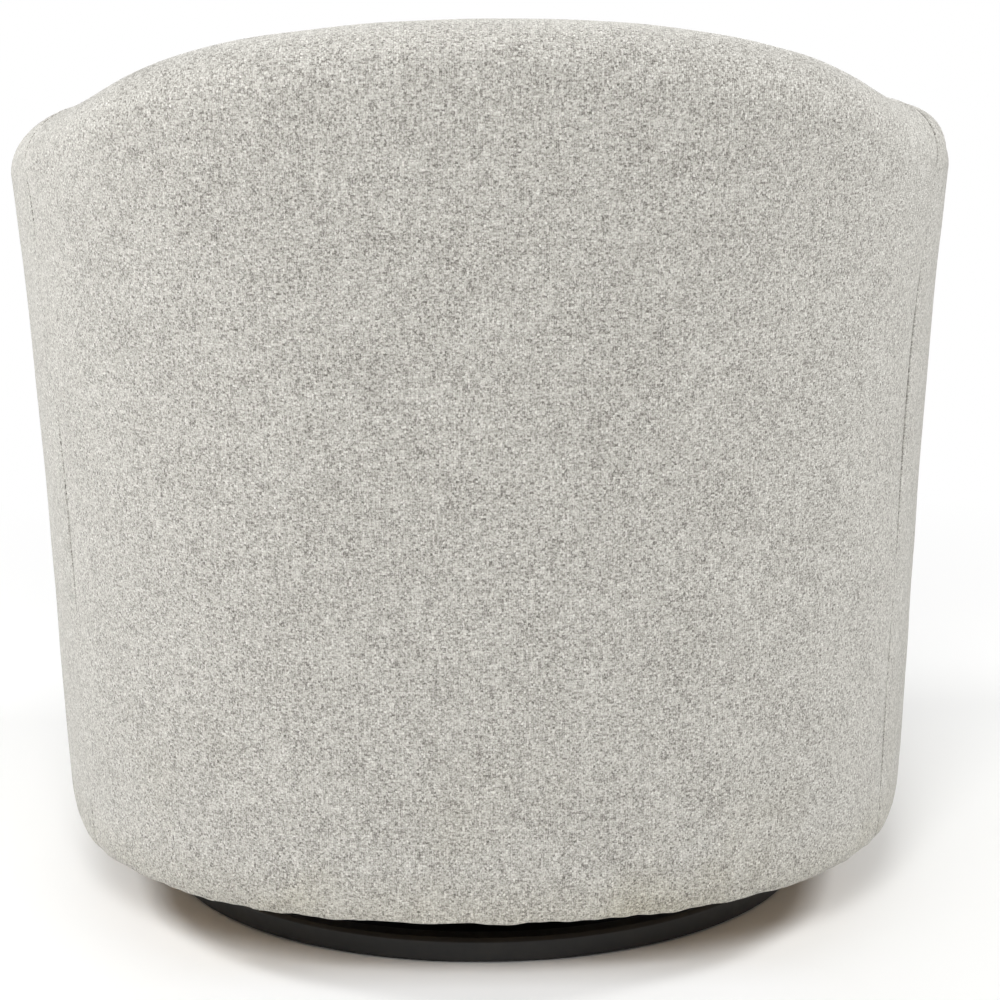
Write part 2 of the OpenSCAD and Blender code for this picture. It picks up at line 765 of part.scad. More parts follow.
// Posts stand on the foot rails and carry the rails under the roll
arm_post_shares = [0.115, 0.52, 0.94];
back_post_shares = [0.075, 0.29, 0.5, 0.71, 0.925];
post_half_p = 2.3;
cap_z_gap = 1.2;
post_top_gap = 0.6;
function cap_under(p) = shoulder_z(p) - cap_z_gap - board_t;
function post_corner(p, u, top) =
    across(p, u, top ? cap_under(p) - post_top_gap : board_z);
module post(p, depth) {
    swept([for (top = [false, true]) [
        post_corner(p - post_half_p, post_inset, top),
        post_corner(p + post_half_p, post_inset, top),
        post_corner(p + post_half_p, post_inset + depth, top),
        post_corner(p - post_half_p, post_inset + depth, top)
    ]]);
}
module left_arm_posts() {
    color([0.75, 0.62, 0.43]) for (share = arm_post_shares)
        post(-front_span + (front_span + seam_p) * share, arm_post_depth);
}
module right_arm_posts() {
    mirrored() left_arm_posts();
}
module back_posts() {
    color([0.75, 0.62, 0.43]) for (share = back_post_shares)
        post(seam_p + (180 - 2 * seam_p) * share, back_post_depth);
}
cap_panel_gap = 1.5;
cap_in = panel_t + cap_panel_gap;
cap_pad_gap = 4;
function cap_loop(p) =
    let (
        top = shoulder_z(p) - cap_z_gap,
        low = cap_under(p),
        u = wall_t(p, low) - pad_t - cap_pad_gap
    )
    [across(p, cap_in, low), across(p, u, low), across(p, u, top), across(p, cap_in, top)];
module cap_rail(stations) {
    color([0.75, 0.62, 0.43]) swept([for (p = stations) cap_loop(p)]);
}
module back_top_rail() {
    cap_rail(back_stations);
}
module left_arm_rail() {
    cap_rail(arm_stations);
}
module right_arm_rail() {
    mirrored() left_arm_rail();
}

// Linings behind the inside pads
liner_t = 3;
liner_gap = 0.5;
function even(shares, t) = [for (v = shares) t];
module back_webbing() {
    color([0.2, 0.2, 0.2]) for (i = [2:5:len(back_stations) - 3])
        shell([back_stations[i], back_stations[i + 1]], liner_shares,
            even(liner_shares, pad_t + liner_gap),
            even(liner_shares, pad_t + liner_gap + webbing_t));
}
module left_arm_liner() {
    color([0.68, 0.6, 0.48]) shell(arm_stations, liner_shares,
        even(liner_shares, pad_t + liner_gap), even(liner_shares, pad_t + liner_gap + liner_t));
}
module right_arm_liner() {
    mirrored() left_arm_liner();
}

// Foam rolls on the cap rails
padding_gap = 0.5;
padding_end_share = 1.85;
padding_shares = [
    for (v = concat(panel_roll_shares, pad_roll_shares)) if (v < padding_end_share) v
];
function padding_loop(p) = [
    for (i = [len(padding_shares) - 1:-1:0]) let (v = padding_shares[i])
        skin(p, v, pad_depth(v) + padding_gap)
];
module crest_padding(stations) {
    color([0.93, 0.9, 0.78]) swept([for (p = stations) padding_loop(p)]);
}
module back_crest_padding() {
    crest_padding(back_stations);
}
module left_crest_padding() {
    crest_padding(arm_stations);
}
module right_crest_padding() {
    mirrored() left_crest_padding();
}

// Outside panels and inside pads
fabric = [0.78, 0.76, 0.72];
panel_outer_t = [for (v = panel_shares) v == 0 ? hem_round : 0];
module outside_panel(stations) {
    color(fabric) shell(stations, panel_shares, panel_outer_t, even(panel_shares, panel_t));
}
module inside_pad(stations) {
    color(fabric) shell(stations, pad_shares, even(pad_shares, 0),
        [for (v = pad_shares) pad_depth(v)]);
}
module outside_back_panel() {
    outside_panel(back_stations);
}
module left_outside_arm_panel() {
    outside_panel(arm_stations);
}
module right_outside_arm_panel() {
    mirrored() left_outside_arm_panel();
}
module inside_back_pad() {
    inside_pad(back_stations);
}
module left_inside_arm_pad() {
    inside_pad(arm_stations);
}
module right_inside_arm_pad() {
    mirrored() left_inside_arm_pad();
}

// Front of the chair: a panel on each arm and a border between them
border_top = deck_top - soft_gap;
border_levels = steps(skirt_z, border_top, 6);
function border_half_w(z) = half_w(z) - arm_wall - tuck;
front_outline = concat(
    [for (v = panel_shares) skin(-front_span, v, 0)],
    [for (v = pad_shares) skin(-front_span, v, 0)],
    [for (i = [len(border_levels) - 1:-1:0])
        [border_half_w(border_levels[i]), 0, border_levels[i]]]
);
module left_arm_front_panel() {
    color(fabric) translate([0, front_panel_t - front_y, 0]) rotate([90, 0, 0])
        linear_extrude(height = front_panel_t)
            polygon([for (q = front_outline) [q[0], q[2]]]);
}
module right_arm_front_panel() {
    mirrored() left_arm_front_panel();
}

border_back = box_front + front_rail_lip + soft_gap;
border_set = 2;
border_power = 4;
border_across_shares = steps(-1, 1, 10);
function border_front(x_share, z) =
    let (up = 2 * (z - skirt_z) / (border_top - skirt_z) - 1)
    front_y - border_set
        - border_bow * (1 - (1 - pow(x_share, border_power)) * (1 - pow(up, border_power)));
module front_border() {
    n = len(border_across_shares);
    m = len(border_levels);
    color(fabric) polyhedron(
        concat(
            [for (s = border_across_shares) for (z = border_levels)
                [s * (border_half_w(z) - soft_gap), -border_front(s, z), z]],
            [for (s = border_across_shares) for (z = border_levels)
                [s * (border_half_w(z) - soft_gap), -border_back, z]]
        ),
        shell_faces(n, m),
        convexity = 4
    );
}

// Seat cushion, boxed, with a crown on top and its sides drawn in at the seams
cushion_z = deck_top + soft_gap;
cushion_half_w = half_w(deck_top) - arm_wall - cushion_gap;
cushion_rear = seat_rear - cushion_gap;
cushion_mid_y = (cushion_rear - front_y) / 2;
cushion_front_power = 7;
cushion_sides = 48;
// Outline share and height share of each row, from the crown down
cushion_row_shares = [
    [0.3, 0.99], [0.6, 0.955], [0.8, 0.905], [0.91, 0.86], [0.965, 0.825], [0.985, 0.79],
    [1, 0.6], [1, 0.35], [0.985, 0.14], [0.965, 0.07], [0.91, 0.02], [0.8, 0]
];
function cushion_edge(q) =
    let (c = cos(q), s = sin(q), f = 2 / cushion_front_power)
    s >= 0 ? [cushion_half_w * rounded(c), cushion_rear * rounded(s)]
    : let (k = pow(-s, f))
        [sign(c) * (cushion_half_w - tuck * k * k) * pow(abs(c), f), -front_y * k];
function cushion_ring(row) = [
    for (i = [0:cushion_sides - 1])
        let (e = cushion_edge(360 * i / cushion_sides))
        [e[0] * row[0], cushion_mid_y + (e[1] - cushion_mid_y) * row[0],
            cushion_z + cushion_h * row[1]]
];
module seat_cushion() {
    rows = len(cushion_row_shares);
    n = cushion_sides;
    last = rows * n;
    color(fabric) polyhedron(
        concat(
            [for (row = cushion_row_shares) each cushion_ring(row)],
            [[0, cushion_mid_y, cushion_z + cushion_h], [0, cushion_mid_y, cushion_z]]
        ),
        [
            for (i = [0:rows - 2]) for (j = [0:n - 1]) let (q = i * n + j, r = i * n + (j + 1) % n)
                each quad(q, r, r + n, q + n),
            for (j = [0:n - 1]) [last, (j + 1) % n, j],
            for (j = [0:n - 1]) [last + 1, last - n + j, last - n + (j + 1) % n]
        ],
        convexity = 4
    );
}

base_ring();
ring_glides();
spider();
spider_screws();
lower_race();
swivel_post();
post_washer();
post_nut();
race_cage();
race_balls();
upper_race();
swivel_plate();
plate_bolts();
rocker_lower_frame();
pivot_bolts();
rock_bumpers();
front_rock_springs();
rear_rock_springs();
rocker_upper_frame();
pivot_bushes();
frame_bolts();
front_cleat();
rear_cleat();
dust_cover();
bottom_front_rail();
bottom_back_rail();
left_bottom_rail();
right_bottom_rail();
seat_front_board();
seat_back_board();
left_seat_board();
right_seat_board();
seat_corner_boards();
left_arm_posts();
right_arm_posts();
back_posts();
back_top_rail();
left_arm_rail();
right_arm_rail();
seat_webbing();
seat_deck();
back_webbing();
left_arm_liner();
right_arm_liner();
back_crest_padding();
left_crest_padding();
right_crest_padding();
outside_back_panel();
left_outside_arm_panel();
right_outside_arm_panel();
inside_back_pad();
left_inside_arm_pad();
right_inside_arm_pad();
left_arm_front_panel();
right_arm_front_panel();
front_border();
seat_cushion();
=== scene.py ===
import math

import bmesh
import bpy
import numpy as np
from mathutils import Matrix, Vector


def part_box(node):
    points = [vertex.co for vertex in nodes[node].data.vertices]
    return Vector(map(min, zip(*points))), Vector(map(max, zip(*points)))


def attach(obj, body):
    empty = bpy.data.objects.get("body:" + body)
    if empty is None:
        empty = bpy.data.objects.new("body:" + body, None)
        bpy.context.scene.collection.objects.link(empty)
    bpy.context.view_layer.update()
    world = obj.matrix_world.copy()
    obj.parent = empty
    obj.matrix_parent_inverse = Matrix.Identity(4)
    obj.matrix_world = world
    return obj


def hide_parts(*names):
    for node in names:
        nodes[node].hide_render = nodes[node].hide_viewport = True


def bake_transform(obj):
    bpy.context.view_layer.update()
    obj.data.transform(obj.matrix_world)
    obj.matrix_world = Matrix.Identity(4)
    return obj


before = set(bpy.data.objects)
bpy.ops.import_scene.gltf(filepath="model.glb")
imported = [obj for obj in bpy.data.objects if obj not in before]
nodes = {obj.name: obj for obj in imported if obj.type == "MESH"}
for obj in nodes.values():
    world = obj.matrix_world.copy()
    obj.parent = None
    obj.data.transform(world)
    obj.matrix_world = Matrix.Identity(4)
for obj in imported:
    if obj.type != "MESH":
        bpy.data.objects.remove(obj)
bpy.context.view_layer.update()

scene = bpy.context.scene


# ---- camera

CAMERA_TURN = (0.4, 14.0, 0.5)  # yaw, pitch and roll, in degrees
CAMERA_AWAY, CAMERA_Z = 2.8, 1.014
LENS, SENSOR, SHIFT = 119.2, 36.0, (0.0175, 0.0035)


def aim_camera():
    yaw, pitch, roll = (math.radians(a) for a in CAMERA_TURN)
    data = bpy.data.cameras.new("camera")
    data.lens, data.sensor_width = LENS, SENSOR
    data.shift_x, data.shift_y = SHIFT
    data.clip_start, data.clip_end = 0.05, 100.0
    camera = bpy.data.objects.new("camera", data)
    scene.collection.objects.link(camera)
    back = Vector((math.sin(yaw) * math.cos(pitch), math.cos(yaw) * math.cos(pitch), math.sin(pitch)))
    right = Vector((-math.cos(yaw), math.sin(yaw), 0.0))
    up = back.cross(right)
    right, up = (right * math.cos(roll) - up * math.sin(roll), up * math.cos(roll) + right * math.sin(roll))
    m = Matrix((right, up, back)).transposed().to_4x4()
    m.translation = (CAMERA_AWAY * math.sin(yaw), CAMERA_AWAY * math.cos(yaw), CAMERA_Z)
    camera.matrix_world = m
    scene.camera = camera


aim_camera()


# ---- the body's skin, as the CAD source has it

CHAIR_H, ARM_FRONT_H, ARM_RISE, SKIRT_Z = 0.770, 0.588, 0.064, 0.065
LOW_HALF_W, LEAN_W, FLARE_W, TUCK = 0.362, 0.018, 0.032, 0.022
LOW_REAR, LEAN_REAR, FLARE_REAR = 0.363, 0.012, 0.018
ARM_WALL, BACK_WALL, SEAT_REAR = 0.108, 0.097, 0.185
PANEL_T, PAD_T, DECK_TOP, GAP = 0.008, 0.045, 0.293, 0.0003
FRONT_SPAN, SEAM_P = 60.0, 26.4
CREST, CREST_GAP, ROLL_SHARE, POWER = 1.62, 0.002, 0.85, 2.25
SWEEP_Y, SWEEP_SOFT = 0.190, 0.050
FRONT_PANEL_T = 0.010
PAD_Z = DECK_TOP + GAP


def up_share(z):
    return (z - SKIRT_Z) / (CHAIR_H - SKIRT_Z)


def half_w(z):
    return LOW_HALF_W + LEAN_W * up_share(z) + FLARE_W * up_share(z) ** 3


def rear(z):
    return LOW_REAR + LEAN_REAR * up_share(z) + FLARE_REAR * up_share(z) ** 3


CREST_REAR = LOW_REAR + LEAN_REAR + FLARE_REAR
FRONT_Y = rear(CHAIR_H - ROLL_SHARE * BACK_WALL / 2)


def inner_rear(z):
    return SEAT_REAR + (CREST_REAR - BACK_WALL - SEAT_REAR) * (z - DECK_TOP) / (CHAIR_H - DECK_TOP)


def sweep(y):
    return (y - SWEEP_Y + np.hypot(y - SWEEP_Y, SWEEP_SOFT)) / 2


ARM_SLOPE = ARM_RISE / FRONT_Y
SWEEP_RISE = CHAIR_H - ARM_FRONT_H - ARM_SLOPE * (CREST_REAR + FRONT_Y)
SWEEP_SLOPE = SWEEP_RISE / (sweep(CREST_REAR) - sweep(-FRONT_Y))


def rounded(v):
    return np.sign(v) * np.abs(v) ** (2 / POWER)


def plan(p, a, b):
    q = np.radians(p)
    x, y = a * rounded(np.cos(q)), b * rounded(np.sin(q))
    x = np.where(p < 0, a - TUCK * (p / FRONT_SPAN) ** 2, x)
    y = np.where(p < 0, FRONT_Y * p / FRONT_SPAN, y)
    return np.stack([x, y], -1)


def wall_out(p, z):
    return plan(p, half_w(z), rear(z))


def wall_in(p, z):
    return plan(p, half_w(z) - ARM_WALL, inner_rear(z))


def wall_t(p, z):
    return np.linalg.norm(wall_in(p, z) - wall_out(p, z), axis=-1)


def across(p, u, z):
    o = wall_out(p, z)
    d = wall_in(p, z) - o
    d /= np.linalg.norm(d, axis=-1, keepdims=True)
    q = o + d * np.asarray(u)[..., None]
    return np.concatenate([q, np.broadcast_to(z, q.shape[:-1])[..., None]], -1)


def top_z(p):
    y = plan(p, half_w(CHAIR_H), CREST_REAR)[..., 1]
    return ARM_FRONT_H + ARM_SLOPE * (y + FRONT_Y) + SWEEP_SLOPE * (sweep(y) - sweep(-FRONT_Y))


def roll_h(p):
    return ROLL_SHARE * wall_t(p, top_z(p)) / 2


def shoulder_z(p):
    return top_z(p) - roll_h(p)


def skin(p, v, t):
    """A point t under the skin: v is 0 to 1 up the outer wall, to 2 over the roll, to 3 down the inner wall."""
    p, v, t = np.broadcast_arrays(*(np.asarray(a, float) for a in (p, v, t)))
    s = shoulder_z(p)
    w = wall_t(p, s)
    c = np.clip(v, 1, 2)
    u = np.where(v <= 1, t, np.where(v < 2, w / 2 - (w / 2 - t) * np.cos(np.pi * (c - 1)), 0))
    z = np.where(v <= 1, SKIRT_Z + (s - SKIRT_Z) * v, np.where(v < 2, s, s - (s - PAD_Z) * (v - 2)))
    u = np.where(v < 2, u, wall_t(p, z) - t)
    out = across(p, u, z)
    out[..., 2] += np.where((v > 1) & (v < 2), (roll_h(p) - t) * np.sin(np.pi * (c - 1)), 0)
    return out


def share(d, length):
    """How much of a length d covers, from 0 to 1."""
    return np.clip(d / length, 0, 1)


def bell(d, width, middle=0):
    """1 at the middle, fading to 0 on both sides."""
    return np.exp(-(((d - middle) / width) ** 2))


def pad_depth(v):
    return PANEL_T + (PAD_T - PANEL_T) * share(v - CREST, 2 - CREST)


def run_along(points):
    """Length along a line of points, or along each row of a grid, from its first point."""
    step = np.linalg.norm(np.diff(points, axis=-2), axis=-1)
    return np.concatenate([np.zeros_like(step[..., :1]), np.cumsum(step, -1)], -1)


# Length round the body at mid height, from the middle of the back, for each station
MID_Z = 0.45
_stations = np.linspace(-FRONT_SPAN, 180 - SEAM_P + 1, 12001)
_arc = run_along(wall_out(_stations, MID_Z))
_arc -= np.interp(90.0, _stations, _arc)


def arc_at(p):
    return np.interp(p, _stations, _arc)


def station_at(s):
    return np.interp(s, _arc, _stations)


EDGE = np.array([0, 0.3, 0.7, 1.2, 1.8, 2.6, 3.6, 5.0, 7.0, 9.8]) / 1000


def spaced(length, step):
    """Distances along a run, close together at both ends where seams are."""
    n = max(2, int(round((length - 2 * EDGE[-1]) / step)))
    middle = EDGE[-1] + (length - 2 * EDGE[-1]) * np.arange(1, n) / n
    return np.concatenate([EDGE, middle, length - EDGE[::-1]])


def waves(u, v, scale, seed, count=9):
    """Smooth repeatable unevenness, about -1 to 1, with features about as long as scale."""
    r = np.random.RandomState(seed)
    total = 0
    for _ in range(count):
        a = r.uniform(0, 2 * np.pi)
        f = r.uniform(0.5, 1.3) * 2 * np.pi / scale
        total = total + np.sin(f * (np.cos(a) * u + np.sin(a) * v) + r.uniform(0, 2 * np.pi))
    return total / math.sqrt(count) * 0.9


def fold_in(d, r):
    """How far a skin edge turns in at distance d from a seam, with fold radius r."""
    k = np.clip(r - d, 0, r)
    return r - np.sqrt(np.maximum(r * r - k * k, 0))


# ---- meshes

def volume_of(points, faces):
    """Six times the volume inside a closed mesh, below zero where its faces look inwards."""
    f = np.asarray(faces)
    a, b, c, d = (points[f[:, k]] for k in range(4))
    return float((a * np.cross(b, c)).sum() + (a * np.cross(c, d)).sum())


def add_mesh(name, points, faces, body, material, uv=None, crease=None):
    points = np.asarray(points, float)
    if volume_of(points, faces) < 0:
        faces = [tuple(reversed(f)) for f in faces]
    mesh = bpy.data.meshes.new(name)
    mesh.from_pydata([tuple(q) for q in points], [], faces)
    mesh.update()
    mesh.polygons.foreach_set("use_smooth", [True] * len(mesh.polygons))
    if uv is not None:
        layer = mesh.uv_layers.new(name="weave")
        index = np.zeros(len(mesh.loops), np.int32)
        mesh.loops.foreach_get("vertex_index", index)
        layer.data.foreach_set("uv", np.asarray(uv, np.float32)[index].ravel())
    if crease is not None:
        layer = mesh.attributes.new("crease", "FLOAT", "POINT")
        layer.data.foreach_set("value", np.asarray(crease, np.float32).ravel())
    obj = bpy.data.objects.new(name, mesh)
    scene.collection.objects.link(obj)
    if body:
        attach(obj, body)
    if material:
        mesh.materials.append(material)
    return obj


def sheet_faces(n, m, k):
    """Faces of a closed sheet whose two sides are n by m grids, the second k points after the first."""
    i, j = np.meshgrid(np.arange(n - 1), np.arange(m - 1), indexing="ij")
    q = (i * m + j).ravel()
    faces = [np.stack([q, q + m, q + m + 1, q + 1], 1)]
    faces.append(faces[0][:, ::-1] + k)
    i, j = np.arange(n - 1) * m, np.arange(m - 1)
    last = (n - 1) * m
    for a, b, flip in ((i, i + m, 1), (i + m - 1, i + 2 * m - 1, -1), (j, j + 1, -1), (last + j, last + j + 1, 1)):
        faces.append(np.stack([a, a + k, b + k, b], 1)[:, ::flip])
    return [tuple(int(x) for x in f) for f in np.concatenate(faces)]


CREASE_W = 0.0010


def crease_of(*distances):
    """How deep in a seam's crease a point lies, 1 in the seam and 0 away from it: how much painted shade the tweed puts
    there.
    """
    return np.clip(sum(bell(d, CREASE_W) for d in distances), 0, 1)


def sheet_mesh(name, outer, inner, uv, material, crease=None, mirror=False):
    """A closed sheet between two grids of points, mirrored to the other side of the chair if asked."""
    if mirror:
        outer, inner, uv = mirror_x(outer), mirror_x(inner), uv * np.array([-1, 1])
    n, m = outer.shape[:2]
    points = np.concatenate([outer.reshape(-1, 3), inner.reshape(-1, 3)])
    both = np.concatenate([uv.reshape(-1, 2)] * 2)
    if crease is not None:
        crease = np.concatenate([crease.ravel()] * 2)
    return add_mesh(name, points, sheet_faces(n, m, n * m), "seat_body", material, both, crease)


def mirror_x(grid):
    return grid * np.array([-1, 1, 1])


def beside(*grids):
    """Grids put together along their second axis."""
    return np.concatenate(grids, 1)


# ---- materials

class Tree:
    """A node tree under construction."""

    def __init__(self, tree):
        self.tree = tree

    def put(self, value, socket):
        if isinstance(value, bpy.types.NodeSocket):
            self.tree.links.new(value, socket)
        elif hasattr(value, "__len__") and len(value) == 3 and socket.type == "RGBA":
            socket.default_value = (*value, 1)
        else:
            socket.default_value = value

    def node(self, kind, *values, **settings):
        """Adds a node with its settings, and puts the values into its first sockets."""
        n = self.tree.nodes.new("ShaderNode" + kind)
        for name, value in settings.items():
            setattr(n, name, value)
        for value, socket in zip(values, n.inputs):
            self.put(value, socket)
        return n

    def math(self, operation, *values, clamp=False):
        return self.node("Math", *values, operation=operation, use_clamp=clamp).outputs[0]

    def plus(self, a, b, clamp=False):
        return self.math("ADD", a, b, clamp=clamp)

    def minus(self, a, b):
        return self.math("SUBTRACT", a, b)

    def times(self, a, b, clamp=False):
        return self.math("MULTIPLY", a, b, clamp=clamp)

    def vector(self, operation, *values):
        n = self.node("VectorMath", *values, operation=operation)
        return n.outputs["Value" if operation == "LENGTH" else "Vector"]

    def split(self, vector):
        return self.node("SeparateXYZ", vector).outputs

    def join(self, *parts):
        return self.node("CombineXYZ", *parts).outputs[0]

    def noise(self, vector, scale, detail=2.0, roughness=0.5, color=False):
        n = self.node("TexNoise", vector)
        for name, value in (("Scale", scale), ("Detail", detail), ("Roughness", roughness)):
            n.inputs[name].default_value = value
        return n.outputs["Color" if color else "Fac"]

    def random(self, vector):
        return self.node("TexWhiteNoise", vector, noise_dimensions="3D").outputs["Value"]

    def ramp(self, value, stops):
        n = self.node("ValToRGB", value)
        elements = n.color_ramp.elements
        while len(elements) < len(stops):
            elements.new(0.5)
        for e, (place, color) in zip(elements, stops):
            e.position, e.color = place, (*color, 1)
        return n.outputs[0]

    def level(self, value, low, high, to_low=0.0, to_high=1.0):
        return self.node("MapRange", value, low, high, to_low, to_high).outputs[0]

    def mix(self, factor, a, b, blend="MIX"):
        n = self.node("Mix", data_type="RGBA", blend_type=blend)
        self.put(factor, n.inputs["Factor"])
        for name, value in (("A", a), ("B", b)):
            self.put(value, next(q for q in n.inputs if q.name == name and q.type == "RGBA"))
        return next(q for q in n.outputs if q.type == "RGBA")

    def mix_shaders(self, factor, a, b, out):
        n = self.node("MixShader", factor, a, b)
        self.tree.links.new(n.outputs[0], out.inputs[0])

    def seen(self):
        """1 for rays that show the backdrop itself: from the camera, off gloss and through glass."""
        path = self.node("LightPath").outputs
        straight = self.plus(path["Is Camera Ray"], path["Is Glossy Ray"])
        return self.plus(straight, path["Is Transmission Ray"], clamp=True)


class Look(Tree):
    """A procedural material under construction."""

    def __init__(self, name, color, roughness, metallic=0.0):
        self.material = bpy.data.materials.new(name)
        self.material.use_nodes = True
        super().__init__(self.material.node_tree)
        self.bsdf = next(n for n in self.tree.nodes if n.type == "BSDF_PRINCIPLED")
        self.set(Base_Color=color, Roughness=roughness, Metallic=metallic)
        self.material.diffuse_color = (*color, 1)

    def set(self, **inputs):
        for name, value in inputs.items():
            self.put(value, self.bsdf.inputs[name.replace("_", " ")])

    def bump(self, height, distance, strength):
        n = self.node("Bump")
        for name, value in (("Strength", strength), ("Distance", distance), ("Height", height)):
            self.put(value, n.inputs[name])
        self.set(Normal=n.outputs[0])
        return n

    def place(self):
        return self.node("TexCoord").outputs["Object"]

    def weave_place(self):
        return self.node("UVMap", uv_map="weave").outputs[0]


YARN = 0.00185  # pitch of the tweed's yarns


def srgb(r, g, b):
    return tuple((c / 255 / 12.92 if c < 10 else ((c / 255 + 0.055) / 1.055) ** 2.4) for c in (r, g, b))


def shaded(color, k):
    return tuple(min(1, c * k) for c in color)


TWEED = (  # the yarns' shades, dark to light
    (0.02, srgb(102, 99, 93)), (0.26, srgb(146, 143, 137)), (0.48, srgb(178, 175.5, 169)),
    (0.72, srgb(199, 197, 191)), (0.98, srgb(220, 218.5, 213)))
# CREASE_SHADE is the near-black of the painted shade in the seams' creases
# SOIL_AND_SHADE tints both the soiling patches and the painted shade at the hem
SOIL_AND_SHADE, CREASE_SHADE = (0.85, 0.825, 0.73), (0.05, 0.046, 0.04)
YARN_WANDER, YARN_LUMPS = 0.0034, 420.0


def make_tweed():
    s = Look("tweed", srgb(187, 184, 177), 0.94)
    at = s.weave_place()
    # The yarns wander, so the weave is never a clean grid
    wander = s.vector("SUBTRACT", s.noise(at, 230, 2, 0.6, color=True), (0.5, 0.5, 0.5))
    loose = s.vector("ADD", at, s.vector("MULTIPLY", wander, (YARN_WANDER, YARN_WANDER, 0)))
    yarns = s.vector("MULTIPLY", loose, (1 / YARN, 1 / YARN, 0))
    cell = s.split(s.vector("FLOOR", yarns))
    part = s.split(s.vector("FRACTION", yarns))
    place = s.split(loose)
    over = s.math("FLOORED_MODULO", s.plus(cell[0], cell[1]), 2.0)
    under = s.minus(1.0, over)
    # Each yarn was spun from light and dark wool, so its shade changes along it
    warp = s.noise(s.join(s.times(cell[0], 7.31), s.times(place[1], YARN_LUMPS), 3.0), 1.0, 2, 0.6)
    weft = s.noise(s.join(s.times(place[0], YARN_LUMPS), s.times(cell[1], 7.31), 9.0), 1.0, 2, 0.6)
    shade = s.plus(s.times(warp, under), s.times(weft, over))
    shade = s.plus(0.5, s.times(s.minus(shade, 0.5), 1.15))
    one = s.random(s.join(cell[0], cell[1], 3.0))
    speck, patch, broad = s.noise(at, 640, 2, 0.65), s.noise(at, 70, 3, 0.55), s.noise(at, 16, 2, 0.5)
    for value, part_of in ((one, 0.38), (speck, 1.52), (patch, 0.22), (broad, 0.15)):
        shade = s.plus(shade, s.times(s.minus(value, 0.5), part_of))
    hump_x, hump_y = (s.math("SINE", s.times(part[k], math.pi)) for k in (0, 1))
    # Here and there the gap beside a warp yarn opens into a fine line of painted shade
    gap = s.noise(s.join(s.times(cell[0], 3.7), s.times(place[1], 75.0), 5.0), 1.0, 1)
    gap = s.times(s.level(gap, 0.5, 0.72), s.math("POWER", s.minus(1.0, hump_x), 1.6))
    color = s.ramp(s.minus(shade, s.times(gap, 0.34)), TWEED)
    # The yarns are round, with painted shade in the gaps between them
    warp_h, weft_h = (s.times(s.math("POWER", a, 0.7), s.math("POWER", b, 0.35))
                      for a, b in ((hump_x, hump_y), (hump_y, hump_x)))
    height = s.plus(s.times(warp_h, under), s.times(weft_h, over))
    fibre = s.noise(at, 2600, 2, 0.6)
    # Painted shade where the yarns dip into their gaps, and the fibres' own random tone
    for value, low, dark, high, light in ((height, 0.0, 0.80, 0.6, 1.0), (fibre, 0.3, 0.93, 0.7, 1.06)):
        color = s.mix(1.0, color, s.ramp(value, [(low, (dark,) * 3), (high, (light,) * 3)]), "MULTIPLY")
    # Painted shade in the creases of the seams, where the stitches pull the cloth in, broken into short dashes
    crease = s.node("Attribute", attribute_name="crease").outputs["Fac"]
    shade_breaks = s.level(s.noise(at, 420, 1), 0.4, 0.6, 0.25, 1.0)
    color = s.mix(s.times(crease, s.times(shade_breaks, 0.5)), color, CREASE_SHADE)
    # Faint soiling in patches near the floor, and painted shade darkening the cloth towards the hem
    up = s.split(s.place())[2]
    low = s.level(up, 0.07, 0.24, 1.0, 0.0)
    soil_and_shade = s.times(s.level(s.noise(s.place(), 8, 3, 0.6), 0.52, 0.74), low, clamp=True)
    # Painted shade: the lowest few centimetres, where the cover turns under, darker still
    soil_and_shade = s.plus(s.times(soil_and_shade, 0.55), s.level(up, 0.062, 0.11, 0.4, 0.0))
    color = s.mix(soil_and_shade, color, s.mix(1.0, color, SOIL_AND_SHADE, "MULTIPLY"))
    s.set(Base_Color=color, Sheen_Weight=0.42, Sheen_Roughness=0.45, Sheen_Tint=(0.95, 0.94, 0.9),
          Specular_IOR_Level=0.2)
    s.bump(s.plus(height, s.times(fibre, 0.35)), 0.00035, 0.7)
    return s.material


EDGE_R = 0.0014  # radius that painted edges catch the light with


def make_black_paint(name, color, roughness, grain=0.25):
    s = Look(name, (color,) * 3, roughness)
    at = s.place()
    dust = s.noise(at, 35, 5, 0.65)
    dusty = (color * 1.5, color * 1.4, color * 1.25)
    s.set(Base_Color=s.ramp(dust, [(0.35, (color * 0.85,) * 3), (0.72, dusty)]),
          Roughness=s.level(s.noise(at, 160, 3), 0.3, 0.7, roughness - 0.05, roughness + 0.08),
          Specular_IOR_Level=0.36)
    bump = s.bump(s.noise(at, 900, 3, 0.6), 0.0002, grain)
    s.put(s.node("Bevel", EDGE_R, samples=4).outputs[0], bump.inputs["Normal"])
    return s.material


def make_metal(name, color, roughness, scratch=(1, 1, 1)):
    s = Look(name, color, roughness, 1.0)
    grain = s.noise(s.vector("MULTIPLY", s.place(), scratch), 220, 4, 0.6)
    s.set(Base_Color=s.ramp(grain, [(0.3, shaded(color, 0.82)), (0.75, color)]),
          Roughness=s.level(grain, 0.3, 0.7, roughness - 0.08, roughness + 0.12))
    s.bump(grain, 0.00006, 0.3)
    return s.material


PLY = 0.0045  # pitch of two layers of plywood
GRAIN_ACROSS, GRAIN_ALONG = 22, 1.2


